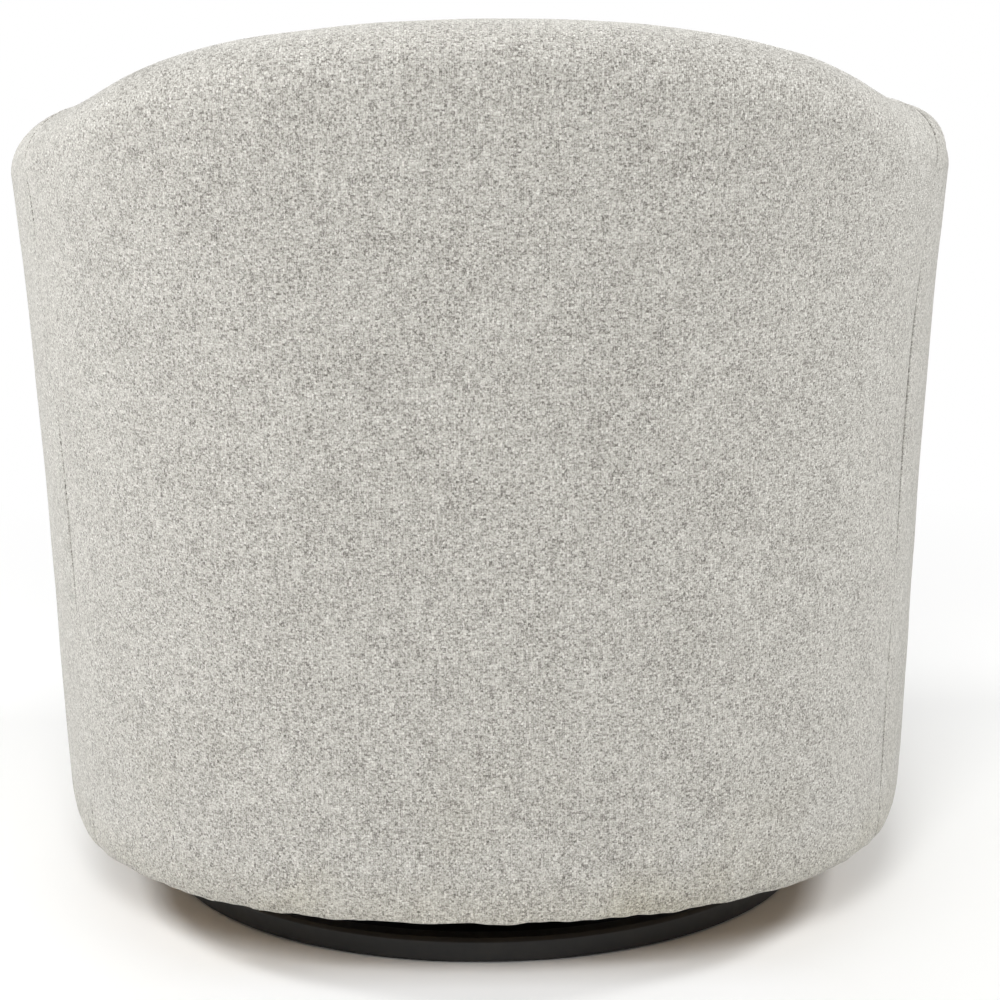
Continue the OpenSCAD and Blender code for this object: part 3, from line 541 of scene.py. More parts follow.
def make_wood(name, light, dark, along, layers=False):
    s = Look(name, light, 0.62)
    at = s.place()
    stretched = s.vector("MULTIPLY", at, tuple(GRAIN_ALONG if a == along else GRAIN_ACROSS for a in "xyz"))
    grain = s.noise(stretched, 6, 6, 0.62)
    color = s.ramp(grain, [(0.28, dark), (0.62, light)])
    color = s.mix(s.level(s.noise(stretched, 1.4, 3, 0.5), 0.35, 0.7, 0.0, 0.45), color, dark)
    if layers:
        edge = s.math("GREATER_THAN", s.math("FRACT", s.times(s.split(at)[2], 1 / PLY)), 0.5)
        color = s.mix(s.times(edge, 0.28), color, shaded(dark, 0.55))
    s.set(Base_Color=color, Specular_IOR_Level=0.3)
    s.bump(grain, 0.0004, 0.35)
    return s.material


def make_cloth(name, color, pitch, strength=0.5):
    s = Look(name, color, 0.9)
    part = s.split(s.vector("FRACTION", s.vector("MULTIPLY", s.place(), (1 / pitch,) * 3)))
    hump = s.times(s.math("SINE", s.times(part[0], math.pi)), s.math("SINE", s.times(part[1], math.pi)))
    tone = s.ramp(s.noise(s.place(), 30, 4, 0.6), [(0.3, shaded(color, 0.8)), (0.7, shaded(color, 1.2))])
    s.set(Base_Color=tone, Specular_IOR_Level=0.25, Sheen_Weight=0.1)
    s.bump(hump, pitch * 0.3, strength)
    return s.material


def make_plain(name, color, roughness, scale, depth, spread=0.12):
    s = Look(name, color, roughness)
    tone = s.noise(s.place(), scale, 4, 0.6)
    s.set(Base_Color=s.ramp(tone, [(0.3, shaded(color, 1 - spread)), (0.7, shaded(color, 1 + spread))]))
    s.bump(s.noise(s.place(), scale * 6, 3, 0.6), depth, 0.5)
    return s.material


BIRCH = (0.62, 0.45, 0.27), (0.42, 0.27, 0.14)
MAPLE = (0.56, 0.39, 0.22), (0.36, 0.22, 0.11)

tweed = make_tweed()
ring_paint = make_black_paint("ring_paint", 0.0125, 0.40)
frame_paint = make_black_paint("frame_paint", 0.028, 0.5, 0.4)
zinc = make_metal("zinc", (0.62, 0.62, 0.60), 0.36, (1, 1, 12))
race_steel = make_metal("race_steel", (0.60, 0.60, 0.61), 0.24)
spring_steel = make_metal("spring_steel", (0.20, 0.20, 0.21), 0.4)
nylon = make_plain("nylon", (0.60, 0.58, 0.50), 0.45, 60, 0.00005)
glide_nylon = make_plain("glide_nylon", (0.03, 0.03, 0.03), 0.5, 60, 0.00005)
rubber = make_plain("rubber", (0.022, 0.022, 0.023), 0.75, 90, 0.0002)
plywood = make_wood("plywood", *BIRCH, "x", True)
plywood_y = make_wood("plywood_y", *BIRCH, "y", True)
hardwood = make_wood("hardwood", *MAPLE, "x")
hardwood_z = make_wood("hardwood_z", *MAPLE, "z")
webbing = make_cloth("webbing", (0.035, 0.033, 0.03), 0.002)
felt = make_cloth("felt", (0.10, 0.095, 0.085), 0.0012, 0.3)
cambric = make_cloth("cambric", (0.012, 0.012, 0.013), 0.0009, 0.6)
fibreboard = make_plain("fibreboard", (0.36, 0.27, 0.17), 0.8, 120, 0.0002)
foam = make_plain("foam", (0.80, 0.74, 0.55), 0.9, 200, 0.0008, 0.06)

# What each CAD node that stays in sight, or inside, is made of
NODE_LOOKS = (
    (ring_paint, "base_ring"), (glide_nylon, "ring_glides"), (rubber, "rock_bumpers"), (felt, "seat_deck"),
    (frame_paint, "spider swivel_plate rocker_lower_frame rocker_upper_frame"),
    (zinc, "spider_screws swivel_post post_washer post_nut plate_bolts pivot_bolts frame_bolts"),
    (race_steel, "lower_race upper_race race_balls"),
    (nylon, "race_cage pivot_bushes"),
    (hardwood, "front_cleat rear_cleat"),
    (hardwood_z, "left_arm_posts right_arm_posts back_posts"),
    (plywood, "bottom_front_rail bottom_back_rail seat_front_board seat_back_board back_top_rail"),
    (plywood_y, "left_bottom_rail right_bottom_rail left_seat_board right_seat_board seat_corner_boards"),
    (plywood_y, "left_arm_rail right_arm_rail"),
    (webbing, "seat_webbing back_webbing"),
    (fibreboard, "left_arm_liner right_arm_liner"),
    (foam, "back_crest_padding left_crest_padding right_crest_padding"),
)
for look, names in NODE_LOOKS:
    for name in names.split():
        nodes[name].data.materials.clear()
        nodes[name].data.materials.append(look)


# ---- outside panels

HEM_Z = 0.0645       # underside of the cover where it turns under the foot rails
HEM_IN, HEM_UP = 0.0078, 0.026  # depth and height of that turn
FOLD = 0.0019        # fold radius at a seam
CLOTH_T = 0.0006
COVER_STEP, COVER_ROWS = 0.0052, 118
LOW_ROWS = np.array([0, 0.12, 0.35, 0.75, 1.3, 2.1, 3.2, 4.7, 6.6, 9.0, 12, 15.5, 19.5, 24, 29]) / 1000
UNDER_ROWS = np.array([36, 31, 26, 21, 16.5, 12.5, 10.2, 8.8]) / 1000
ROLL_LEN = 0.1475    # length over the roll for each 1 of v
ROLL_ROWS = np.concatenate([np.linspace(0.0910, 0.0140, 17), EDGE[::-1]])
SWELL, SWELL_OVER = 0.0022, 0.15
# Size, length and seed of the cover's unevenness, and of the puckers that the staples pull at the hem
UNEVEN = (0.0008, 0.23, 11), (0.00035, 0.085, 12)
PUCKERS = (0.7, 0.034, 21), (0.45, 0.017, 22)
PUCKER, HEM_WAVE = 0.0005, 0.0007
# How full the roll's corners are beside the seams: at the back's left and right seam, its hollows
# further in, and the left and right arm
BACK_CORNERS, BACK_HOLLOWS, ARM_CORNERS = (0.0008, 0.0048), (0.0038, 0.0022), (0.0006, 0.0066)
# How far round the body, in degrees, the seam of back and arm runs from its lowest point, at each height
SEAM_LEAN = ((0.30, 0.525, 0.60, 0.66, 0.70), (0, -1.1, -1.6, -2.4, -2.8))
LEAN_OVER = 0.09     # how far from a seam the cloth leans with it


def hem_turn(up):
    """Depth of the cover's turn at a height over the hem."""
    k = np.clip(1 - up / HEM_UP, 0, 1)
    return HEM_IN * (1 - np.sqrt(np.maximum(1 - k**2, 0)))


def seam_pull(d):
    """Depth of the skin near a seam: the fold itself and the padding drawn in round it."""
    return fold_in(d, FOLD) + 0.0011 * np.exp(-d / 0.007) + 0.0008 * np.exp(-d / 0.028)


def seam_course(p, v, d0, d1):
    """Stations with the seams of back and arm leaning towards the arms on their way up.

    d1 is the distance to the seam at the end, d0 to the one at the start, which only the back has.
    """
    lean = np.interp(skin(p, v, 0.0)[..., 2], *SEAM_LEAN) * np.clip(1 - (v - 2) / 0.6, 0, 1)
    if d0 is None:
        return p + lean * bell(d1, LEAN_OVER)
    return p + lean * bell(d0, LEAN_OVER) - lean * bell(d1, LEAN_OVER)


def row_lengths(grid):
    """Length along the first axis of a grid of points, from its middle."""
    run = run_along(grid.swapaxes(0, 1)).T
    return run - run[len(run) // 2]


def panel_grid(s0, s1, step, rows, first_seam):
    """For a panel from s0 to s1 round the body: the places s, stations, rows v, distances from both
    side edges, heights, and lengths across and along the panel."""
    s = s0 + spaced(s1 - s0, step)
    p = station_at(s)[:, None]
    v = rows(p) + 0 * p
    d0, d1 = (s - s0)[:, None] + 0 * v, (s1 - s)[:, None] + 0 * v
    p = seam_course(p, v, d0 if first_seam else None, d1)
    base = skin(p, v, 0.0)
    return s, p, v, d0, d1, base[..., 2], row_lengths(base), run_along(base)


def cover_rows(p):
    low = (HEM_Z + LOW_ROWS - SKIRT_Z) / (shoulder_z(p) - SKIRT_Z)
    wall = low[:, -1:] + (1 - low[:, -1:]) * (np.arange(1, COVER_ROWS + 1) / COVER_ROWS)
    return beside(low, wall, CREST - CREST_GAP - ROLL_ROWS / ROLL_LEN + 0 * p)


def outside_panel(name, node, s0, s1, dark, fold, first_seam=False, mirror=False):
    """The cover from s0 to s1 round the body; fold says how deep its two side edges turn in, and dark how much painted
    shade their creases get.
    """
    s, p, v, d0, d1, z, u, run = panel_grid(s0, s1, COVER_STEP, cover_rows, first_seam)
    to_crest = run[:, -1:] - run
    z_up = z - HEM_Z
    depth = 0.35 + 0.65 * share(z - 0.30, 0.25)
    t = seam_pull(d0) * (depth * fold[0] if first_seam else 1)
    t = t + seam_pull(d1) * depth * fold[1] + seam_pull(to_crest)
    # Loose, soft cover over padding: a slight swell and unevenness
    t = t - SWELL * share(z_up, SWELL_OVER) * share(to_crest, SWELL_OVER)
    for size, length, seed in UNEVEN:
        t = t - size * waves(u, run, length, seed)
    # Hem: the cover turns under, and the staples below pull it into small puckers
    pull = sum(waves(s, s * 0, length, seed)[:, None] * size for size, length, seed in PUCKERS)
    calm = share(np.minimum(d0, d1), 0.012)
    t = t + hem_turn(z_up) + PUCKER * pull * calm * np.exp(-z_up / 0.010)
    # The padding fills the corner of the roll beside the seam
    if first_seam:
        near = np.minimum(d0, d1)
        full = np.where(d0 < d1, *BACK_CORNERS) * bell(near, 0.016)
        full = full - np.where(d0 < d1, *BACK_HOLLOWS) * bell(near, 0.045, 0.065)
        t = t - full * bell(to_crest, 0.034, 0.058)
    else:
        t = t - ARM_CORNERS[mirror] * bell(d1, 0.030, 0.016) * bell(to_crest, 0.026, 0.072)
    outer = skin(p, v, t)
    outer[..., 2] += HEM_WAVE * (waves(s, s * 0, 0.028, 23)[:, None] - 0.4) * calm * np.exp(-z_up / 0.004)
    inner = skin(p, v, np.maximum(PANEL_T + 0.0001, t + CLOTH_T))
    inner[..., 2] = np.maximum(inner[..., 2], HEM_Z + CLOTH_T)
    # Turned-under part
    under = np.broadcast_to(UNDER_ROWS[None, :], (len(s), len(UNDER_ROWS)))
    z0 = np.full_like(under, HEM_Z)
    p = np.broadcast_to(p[:, :1], under.shape)
    below = across(p, under + t[:, :1] - HEM_IN, z0)
    below[..., 2] += share(0.018 - under, 0.010) * (outer[:, :1, 2] - HEM_Z)
    above = across(p, np.maximum(under, PANEL_T + 0.0002), z0 + CLOTH_T)
    uv = np.stack([beside(u[:, :1] + 0 * under, u), beside(-under, run)], -1)
    # Painted shade in the side seams' creases, fainter lower down, and at half strength along the crest seam
    fade = 0.12 + 0.88 * share(z - 0.28, 0.22)
    crease = crease_of(d0) * fade * dark[0] + crease_of(d1) * fade * dark[1]
    crease = beside(0 * under, crease + 0.5 * crease_of(to_crest))
    obj = sheet_mesh(name, beside(below, outer), beside(above, inner), uv, tweed, crease, mirror)
    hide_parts(node)


SEAM_HALF_GAP = 0.0001
back_half = -float(arc_at(SEAM_P)) - SEAM_HALF_GAP
arm_front_p = -FRONT_SPAN * (1 - (FRONT_PANEL_T + GAP) / FRONT_Y)
arm = float(arc_at(arm_front_p)), float(arc_at(SEAM_P)) - SEAM_HALF_GAP

# At one side of the back the seam's crease gets a fine line of painted shade; at the other the seam lies flat, without
# it
outside_panel("outside_back_cover", "outside_back_panel", -back_half, back_half, (0.0, 0.8), (0.3, 1), True)
outside_panel("left_outside_arm_cover", "left_outside_arm_panel", *arm, (0.5, 0.0), (1, 0.3))
outside_panel("right_outside_arm_cover", "right_outside_arm_panel", *arm, (0.5, 0.8), (1, 1), mirror=True)


# ---- inside pads

PRESSURE = 3.0


def places_of(mesh):
    out = np.empty(len(mesh.vertices) * 3)
    mesh.vertices.foreach_get("co", out)
    return out.reshape(-1, 3)


def puff(obj, held, pressure, frames, cap):
    """Swells a mesh with a cloth simulation; held points stay, and none moves more than its cap."""
    mesh = obj.data
    before = places_of(mesh)
    group = obj.vertex_groups.new(name="held")
    group.add([int(i) for i in np.nonzero(held)[0]], 1.0, "REPLACE")
    cloth = obj.modifiers.new("cloth", "CLOTH")
    c = cloth.settings
    c.quality, c.mass = 6, 0.25
    c.tension_stiffness = c.compression_stiffness = 12
    c.shear_stiffness, c.bending_stiffness = 6, 0.6
    c.use_pressure, c.uniform_pressure_force = True, pressure
    c.vertex_group_mass = "held"
    c.effector_weights.gravity = 0
    cloth.collision_settings.use_collision = False
    cloth.point_cache.frame_start, cloth.point_cache.frame_end = 1, frames
    for f in range(1, frames + 1):
        scene.frame_set(f)
    move = places_of(obj.evaluated_get(bpy.context.evaluated_depsgraph_get()).data) - before
    obj.modifiers.remove(cloth)
    obj.vertex_groups.remove(group)
    scene.frame_set(1)
    size = np.linalg.norm(move, axis=1, keepdims=True)
    cap = np.maximum(np.broadcast_to(cap, len(move)).reshape(-1, 1), 1e-6)
    move = move * (cap * np.tanh(size / cap) / np.maximum(size, 1e-9))
    mesh.vertices.foreach_set("co", (before + move).ravel())
    mesh.update()


PAD_STEP, PAD_CORNER = 0.0056, 0.004
PAD_ROLL_LEN, PAD_WALL_LEN = 0.0558, 0.40  # from the crest seam to the inner wall, and down it
PAD_ROLL_ROWS = np.concatenate([EDGE, np.linspace(0.0145, PAD_ROLL_LEN, 9)[:-1]])
PAD_WALL_ROWS = np.concatenate([np.linspace(0, 1, 74)[:-1], 1 - EDGE[::-1] / PAD_WALL_LEN])
REST_Z, REST_H = 0.452, 0.09               # the cushion leans against the pads up to here


def pad_rows(p):
    roll = CREST + CREST_GAP + (2 - CREST - CREST_GAP) * PAD_ROLL_ROWS / PAD_ROLL_LEN
    return np.concatenate([roll, 2 + np.unique(np.round(PAD_WALL_ROWS, 5))])


def inside_pad(name, node, s0, s1, swell, seed, first_seam=False, mirror=False):
    _, p, v, d0, d1, z, u, run = panel_grid(s0, s1, PAD_STEP, pad_rows, first_seam)
    left = run[:, -1:] - run
    t = seam_pull(run) + fold_in(left, PAD_CORNER)
    t = t + seam_pull(d0) + seam_pull(d1)
    # The pad swells above the cushion, which leans against its lower part
    above = share(z - REST_Z, REST_H)
    above = above * above * (3 - 2 * above)
    from_side = share(d0, 0.12) * share(d1, 0.12)
    t = t - 0.6 * swell * above * np.sin(share(run, 0.16) * np.pi / 2) * (0.35 + 0.65 * from_side)
    t = t - above * 0.0011 * waves(u, run, 0.16, seed) - 0.0004 * above * waves(u, run, 0.06, seed + 1)
    outer = skin(p, v, t)
    inner = skin(p, v, np.maximum(pad_depth(v), t + 0.004))
    uv = np.stack([u, run + 3], -1)
    obj = sheet_mesh(name, outer, inner, uv, tweed, crease_of(run, d0, d1), mirror)
    held = np.minimum(np.minimum(run, left), np.minimum(d0, d1)) < 0.006
    held = np.concatenate([held.ravel(), np.ones(held.size, bool)])
    cap = np.concatenate([(0.0002 + swell * above).ravel(), np.full(above.size, 1e-6)])
    puff(obj, held, PRESSURE, 12, cap)
    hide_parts(node)


inside_pad("inside_back_cover", "inside_back_pad", -back_half, back_half, 0.007, 31, True)
inside_pad("left_inside_arm_cover", "left_inside_arm_pad", *arm, 0.005, 41)
inside_pad("right_inside_arm_cover", "right_inside_arm_pad", *arm, 0.005, 51, mirror=True)


# ---- under the seat

CLEAT_Y, CLEAT_HALF, FRAME_X = 0.115, 0.037, 0.178
SLANT_W, SLANT_D = 0.114, 0.093  # the dust cover's rear corners are cut off
STAPLE_X, STAPLE_Y = (0.216, 0.238, 0.261), (-0.130, -0.100, 0.100, 0.130)
# A staple's wire, as places along and over its crown
STAPLE = (-0.0050, 0.0016), (-0.0050, 0.0004), (-0.0044, 0), (0.0044, 0), (0.0050, 0.0004), (0.0050, 0.0016)
STAPLE_T, STAPLE_HALF_W, CROWN_HALF = 0.0005, 0.0006, 0.0045
WIRE, COIL_W, TURNS, SPRING_Y = 0.005, 0.044, 5, 0.115


def ring_faces(start, n, m):
    """Faces between n rings of m points each, which follow one another from start."""
    return [(start + i * m + j, start + i * m + (j + 1) % m, start + (i + 1) * m + (j + 1) % m, start + (i + 1) * m + j)
            for i in range(n - 1) for j in range(m)]


def dust_cover():
    """Thin black cloth under the seat; it is stapled to the cleats and sags a little between them."""
    low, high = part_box("dust_cover")
    half_w, half_d, mid_y = (high[0] - low[0]) / 2, (high[1] - low[1]) / 2, (high[1] + low[1]) / 2
    even = np.linspace(-1, 1, 85)
    x = even[:, None] * half_w
    rear = mid_y + half_d - SLANT_D * share(np.abs(x) - (half_w - SLANT_W), SLANT_W)
    front = mid_y - half_d
    y = front + (rear - front) * (even[None, :] + 1) / 2
    x = x + 0 * y
    edge = np.minimum(np.minimum(half_w - np.abs(x), y - front), rear - y)
    # It sags only where neither the cleats nor the frame's side rails hold it up
    outside = CLEAT_Y + CLEAT_HALF
    free = share(np.abs(y) - outside, 0.05) + share(0.086 - np.abs(y), 0.05) * 0.6
    free = free * (1 - bell(np.abs(x), 0.03, FRAME_X) * (np.abs(y) < outside))
    soft = share(edge, 0.05) * free
    sag = 0.0036 * soft * soft * (3 - 2 * soft) * (0.8 + 0.2 * waves(x, y, 0.25, 91))
    z = low[2] + 0.0004 - sag - 0.0004 * soft * (1 + waves(x, y, 0.035, 92))
    under = np.stack([x, y, z], -1)
    over = under + np.array([0, 0, CLOTH_T])
    obj = sheet_mesh("dust_cover_cloth", over, under, np.stack([x, y], -1), cambric)
    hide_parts("dust_cover")


def staples():
    """Staples that hold the dust cover to the ends of the cleats, as one piece."""
    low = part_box("dust_cover")[0]
    r = np.random.RandomState(95)
    points, faces = [], []
    for x in STAPLE_X + tuple(-x for x in STAPLE_X):
        for y in STAPLE_Y:
            at = np.array([x, y, low[2] - 0.0002]) + np.append(r.uniform(-0.003, 0.003, 2), 0)
            turn = r.uniform(-0.25, 0.25)
            along = np.array([math.cos(turn), math.sin(turn), 0])
            side = np.array([-math.sin(turn), math.cos(turn), 0])
            start = len(points)
            for run, up in STAPLE:
                middle = at + np.array([0, 0, up]) + along * run
                leg = abs(run) > CROWN_HALF
                thick = along * -np.sign(run) * STAPLE_T if leg else np.array([0, 0, STAPLE_T])
                w = side * STAPLE_HALF_W
                points += [middle + w, middle - w, middle - w + thick, middle + w + thick]
            faces += ring_faces(start, len(STAPLE), 4)
            faces += [tuple(start + m for m in (3, 2, 1, 0)), tuple(start + 20 + m for m in range(4))]
    obj = add_mesh("dust_cover_staples", points, faces, "seat_body", zinc)
    obj.data.polygons.foreach_set("use_smooth", [False] * len(obj.data.polygons))


def rock_springs(name, node, y):
    """A pair of coil springs between the swivel frame and the seat."""
    low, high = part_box(node)
    turn = np.linspace(0, TURNS, TURNS * 30 + 1)
    # Half a turn lies flat at each end
    z = low[2] + WIRE / 2 + (high[2] - low[2] - WIRE) * np.clip((turn - 0.5) / (TURNS - 1), 0, 1)
    b = np.linspace(0, 2 * np.pi, 13)[:-1]
    reach = (COIL_W - WIRE) / 2 + WIRE / 2 * np.cos(b)[None, :]
    a = 2 * np.pi * turn[:, None]
    coil = np.stack([reach * np.cos(a), reach * np.sin(a), z[:, None] + WIRE / 2 * np.sin(b)[None, :] + 0 * a], -1)
    coil = coil.reshape(-1, 3)
    n, m = len(turn), len(b)
    points, faces = [], []
    for k, side in enumerate((-1, 1)):
        points.append(coil + np.array([side * (high[0] - COIL_W / 2), y, 0]))
        o = k * n * m
        end = o + (n - 1) * m
        faces += ring_faces(o, n, m)
        faces += [(o, o + j + 2, o + j + 1, o + j) for j in range(1, m - 1, 2)]
        faces += [(end, end + j, end + j + 1, end + j + 2) for j in range(1, m - 1, 2)]
    obj = add_mesh(name, np.concatenate(points), faces, None, spring_steel)
    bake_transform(obj)
    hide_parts(node)


dust_cover()
staples()
rock_springs("front_coil_springs", "front_rock_springs", -SPRING_Y)
rock_springs("rear_coil_springs", "rear_rock_springs", SPRING_Y)


# ---- front of the chair

def loop_points(points, step):
    """Points at an even step along a closed line of corners, the corners kept."""
    out = []
    for a, b in zip(points, np.roll(points, -1, axis=0)):
        n = max(1, int(round(np.linalg.norm(b - a) / step)))
        out += [a + (b - a) * k / n for k in range(n)]
    return np.array(out)


def front_outline():
    v = np.linspace(0, 3, 1201)
    q = skin(-FRONT_SPAN, v, 0.0)[:, [0, 2]]
    z = np.linspace(DECK_TOP - GAP, SKIRT_Z, 60)
    q = np.concatenate([q, np.stack([half_w(z) - ARM_WALL - TUCK, z], -1)])
    keep = [0]
    for i in range(1, len(q)):
        if np.linalg.norm(q[i] - q[keep[-1]]) > 0.0045 or i == len(q) - 1:
            keep.append(i)
    return loop_points(q[keep], 0.005)


ARM_ROUND, ARM_MID = 0.0075, 0.052  # the face's rounded edge, and half the width of the arm
# Rows over the arm front: near its back, how far from it and how far in from the outline; then how far
# in on its face
SEAM_ROWS = (0.0, FOLD), (0.0006, FOLD * 0.45), (0.0013, FOLD * 0.12), (0.0020, 0.0)
FACE_ROWS = 0.0105, 0.014, 0.0185, 0.024, 0.030, 0.036, 0.042, 0.048
DOME, DOME_OVER = 0.0045, 0.045


def arm_front(name, node, mirror=False):
    line = front_outline()
    n = len(line)
    spine_z = np.clip(line[:, 1], SKIRT_Z + ARM_MID, line[:, 1].max() - ARM_MID)
    station = -FRONT_SPAN + 0 * spine_z
    low_x = half_w(spine_z) - ARM_WALL - TUCK
    inner_x = np.where(spine_z < DECK_TOP, low_x, wall_in(station, spine_z)[:, 0])
    spine = np.stack([(wall_out(station, spine_z)[:, 0] + inner_x) / 2, spine_z], -1)
    reach = np.linalg.norm(line - spine, axis=1)
    back_y, face_y = -FRONT_Y + FRONT_PANEL_T, -FRONT_Y
    rows = [(inset, back_y - depth) for depth, inset in SEAM_ROWS]
    for a in np.radians(np.linspace(0, 90, 8)[1:]):
        rows.append((ARM_ROUND * (1 - math.cos(a)), face_y + ARM_ROUND * (1 - math.sin(a))))
    rows += [(d, face_y) for d in FACE_ROWS]
    points, uv = [], []
    for inset, y in rows:
        part = np.minimum(inset / reach, 0.93)
        q = line + (spine - line) * part[:, None]
        away = np.minimum(inset, reach * part) - ARM_ROUND
        dome = DOME * np.sin(share(away, DOME_OVER) * np.pi / 2)
        dome = dome + 0.0004 * waves(q[:, 0], q[:, 1], 0.09, 61) * share(away, 0.02)
        points.append(np.stack([q[:, 0], y - dome, q[:, 1]], -1))
        uv.append(q)
    for y in (face_y - DOME, back_y):
        points.append(np.stack([spine[:, 0], y + 0 * spine_z, spine[:, 1]], -1))
        uv.append(spine)
    m = len(points) - 1
    # Painted shade along the seam at the front's back edge, fading over its first four rows
    crease = np.zeros((m + 1, n))
    crease[:4] = np.array([1, 0.8, 0.4, 0.1])[:, None]
    i, k = np.meshgrid(np.arange(n), np.arange(m - 1), indexing="ij")
    a, b = k * n + i, k * n + (i + 1) % n
    faces = np.stack([a, b, b + n, a + n], -1).reshape(-1, 4)
    a, b = np.arange(n), (np.arange(n) + 1) % n
    cap = np.stack([a, a + m * n, b + m * n, b], -1)
    faces = [tuple(int(x) for x in f) for f in np.concatenate([faces, cap])]
    points, uv = np.concatenate(points), np.concatenate(uv) + np.array([5, 5])
    if mirror:
        points = mirror_x(points)
    obj = add_mesh(name, points, faces, "seat_body", tweed, uv, crease)
    weld(obj)
    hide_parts(node)


def weld(obj, distance=0.00002):
    b = bmesh.new()
    b.from_mesh(obj.data)
    bmesh.ops.remove_doubles(b, verts=b.verts, dist=distance)
    b.to_mesh(obj.data)
    b.free()


arm_front("left_arm_front_cover", "left_arm_front_panel")
arm_front("right_arm_front_cover", "right_arm_front_panel", True)


BORDER_STEP, BORDER_OUT = 0.0058, 0.0012  # the border reaches this far over the slit beside each arm
BORDER_BACK, BORDER_CROWN = (0.002, 0.009), 0.003


def front_border():
    back_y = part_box("front_border")[1][1]
    top = DECK_TOP - GAP
    z = np.concatenate([HEM_Z + LOW_ROWS, np.linspace(HEM_Z + 0.034, top - 0.012, 38), top - EDGE[::-1]])
    w = half_w(0.18) - ARM_WALL - TUCK + BORDER_OUT
    across_w = (spaced(2 * w, BORDER_STEP) - w) / w
    sg, zg = np.meshgrid(across_w, z, indexing="ij")
    up = 2 * (zg - SKIRT_Z) / (top - SKIRT_Z) - 1
    side = (1 - np.abs(sg)) * w
    y = FRONT_Y - BORDER_BACK[0] - BORDER_BACK[1] * (1 - (1 - sg**4) * (1 - np.clip(up, -1, 1) ** 4))
    y = y + BORDER_CROWN * (1 - sg**2) * (1 - up**2)
    y = y - seam_pull(side) - fold_in(top - zg, 0.006) - hem_turn(zg - HEM_Z)
    y = y + 0.0006 * waves(sg * w, zg, 0.12, 71) * share(side, 0.05)
    x = sg * (half_w(zg) - ARM_WALL - TUCK + BORDER_OUT)
    outer = np.stack([x, -y, zg], -1)
    inner = np.stack([x, np.full_like(x, back_y), np.clip(zg, SKIRT_Z, top)], -1)
    # The border's cloth runs in under the chair
    part = np.array([0.97, 0.8, 0.6, 0.4, 0.2])[None, :, None]
    under = outer[:, :1] + (inner[:, :1] - outer[:, :1]) * part
    under[..., 2] = HEM_Z
    above = inner[:, :1] - np.array([0, 0, 0.00045]) * part
    depth = np.linalg.norm(under - outer[:, :1], axis=-1)
    u, v = sg * w, zg + 8
    uv = np.stack([beside(u[:, :1] + 0 * depth, u), beside(v[:, :1] - depth, v)], -1)
    crease = crease_of(beside(side[:, :1] + 0 * depth, side))
    obj = sheet_mesh("front_border_cover", beside(under, outer), beside(above, inner), uv, tweed, crease)
    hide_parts("front_border")


front_border()


# ---- seat cushion

CUSHION_Z, CUSHION_H = DECK_TOP + GAP, 0.176
CUSHION_W = half_w(DECK_TOP) - ARM_WALL - 0.003
CUSHION_REAR = SEAT_REAR - 0.003
CUSHION_MID = (CUSHION_REAR - FRONT_Y) / 2
SEAM_R, SEAM_UP, SEAM_LOW = 0.982, 0.80, 0.115  # place of the two seams: share of the outline, and of the height
SEAM_STEP = 0.008       # the crown ends this share of the height over the seam
# Shares of the height at distances from the middle, over the crown and under the base
CROWN = (0, 0.3, 0.6, 0.8, 0.91, 0.965, SEAM_R), (0.985, 0.975, 0.945, 0.90, 0.862, 0.828, SEAM_UP + SEAM_STEP)
BASE = (0, 0.8, 0.91, 0.965, SEAM_R), (0, 0, 0.022, 0.07, SEAM_LOW)
CUSHION_FOLD, CUSHION_BULGE = 0.0026, 0.0062
CUSHION_EDGE = np.array([0, 0.0011, 0.0024, 0.0044, 0.0078, 0.0125])
CUSHION_HALF = 0.26     # about half the cushion's width
COLUMNS, ROWS = 92, 96


def cushion_edge(q):
    c, s = np.cos(np.radians(q)), np.sin(np.radians(q))
    f = 2 / 7
    k = np.abs(s) ** f
    x = np.where(s >= 0, CUSHION_W * rounded(c), np.sign(c) * (CUSHION_W - TUCK * k * k) * np.abs(c) ** f)
    y = np.where(s >= 0, CUSHION_REAR * rounded(s), -FRONT_Y * k)
    return np.stack([x, y], -1)


def cushion_line(n, m):
    """Edge points from the front left corner round: front, right, rear, left."""
    out = []
    for corner, k in ((225, n), (315, m), (405, n), (495, m)):
        q = cushion_edge(np.linspace(corner, corner + 90, 2001))
        run = run_along(q)
        at = np.linspace(0, run[-1], k + 1)[:-1]
        out.append(np.stack([np.interp(at, run, q[:, 0]), np.interp(at, run, q[:, 1])], -1))
    return np.concatenate(out)


def cushion_panel(closed, middle, heights):
    """A square grid over the closed outline, its outer rows close together beside the seam: its points
    seen from above, their heights and their distances from the outline."""
    n, m = COLUMNS, ROWS

    def spread(k):
        inner = np.linspace(-1, 1, k + 1 - 2 * (len(CUSHION_EDGE) - 1))
        outer = 1 - CUSHION_EDGE[:-1] / CUSHION_HALF
        return np.concatenate([-outer, inner * (1 - 0.0155 / CUSHION_HALF), outer[::-1]])

    x, y = np.meshgrid(spread(n), spread(m), indexing="ij")
    r = np.maximum(np.abs(x), np.abs(y))
    # The side that a point is nearest to, and its place along that side
    a, b = x / np.maximum(r, 1e-9), y / np.maximum(r, 1e-9)
    sides = b < -1 + 1e-6, a > 1 - 1e-6, b > 1 - 1e-6
    places = (a + 1) / 2 * n, n + (b + 1) / 2 * m, n + m + (1 - a) / 2 * n
    sides = sides[0], sides[1] & ~sides[0] & ~sides[2], sides[2]
    place = np.select(sides, places, 2 * n + m + (1 - b) / 2 * m)
    at = np.arange(len(closed))
    e = np.stack([np.interp(place, at, closed[:, 0]), np.interp(place, at, closed[:, 1])], -1)
    flat = middle + (e - middle) * (r * SEAM_R)[..., None]
    z = CUSHION_Z + CUSHION_H * np.interp(r * SEAM_R, *heights)
    return flat, z, (1 - r) * np.linalg.norm(e - middle, axis=-1)


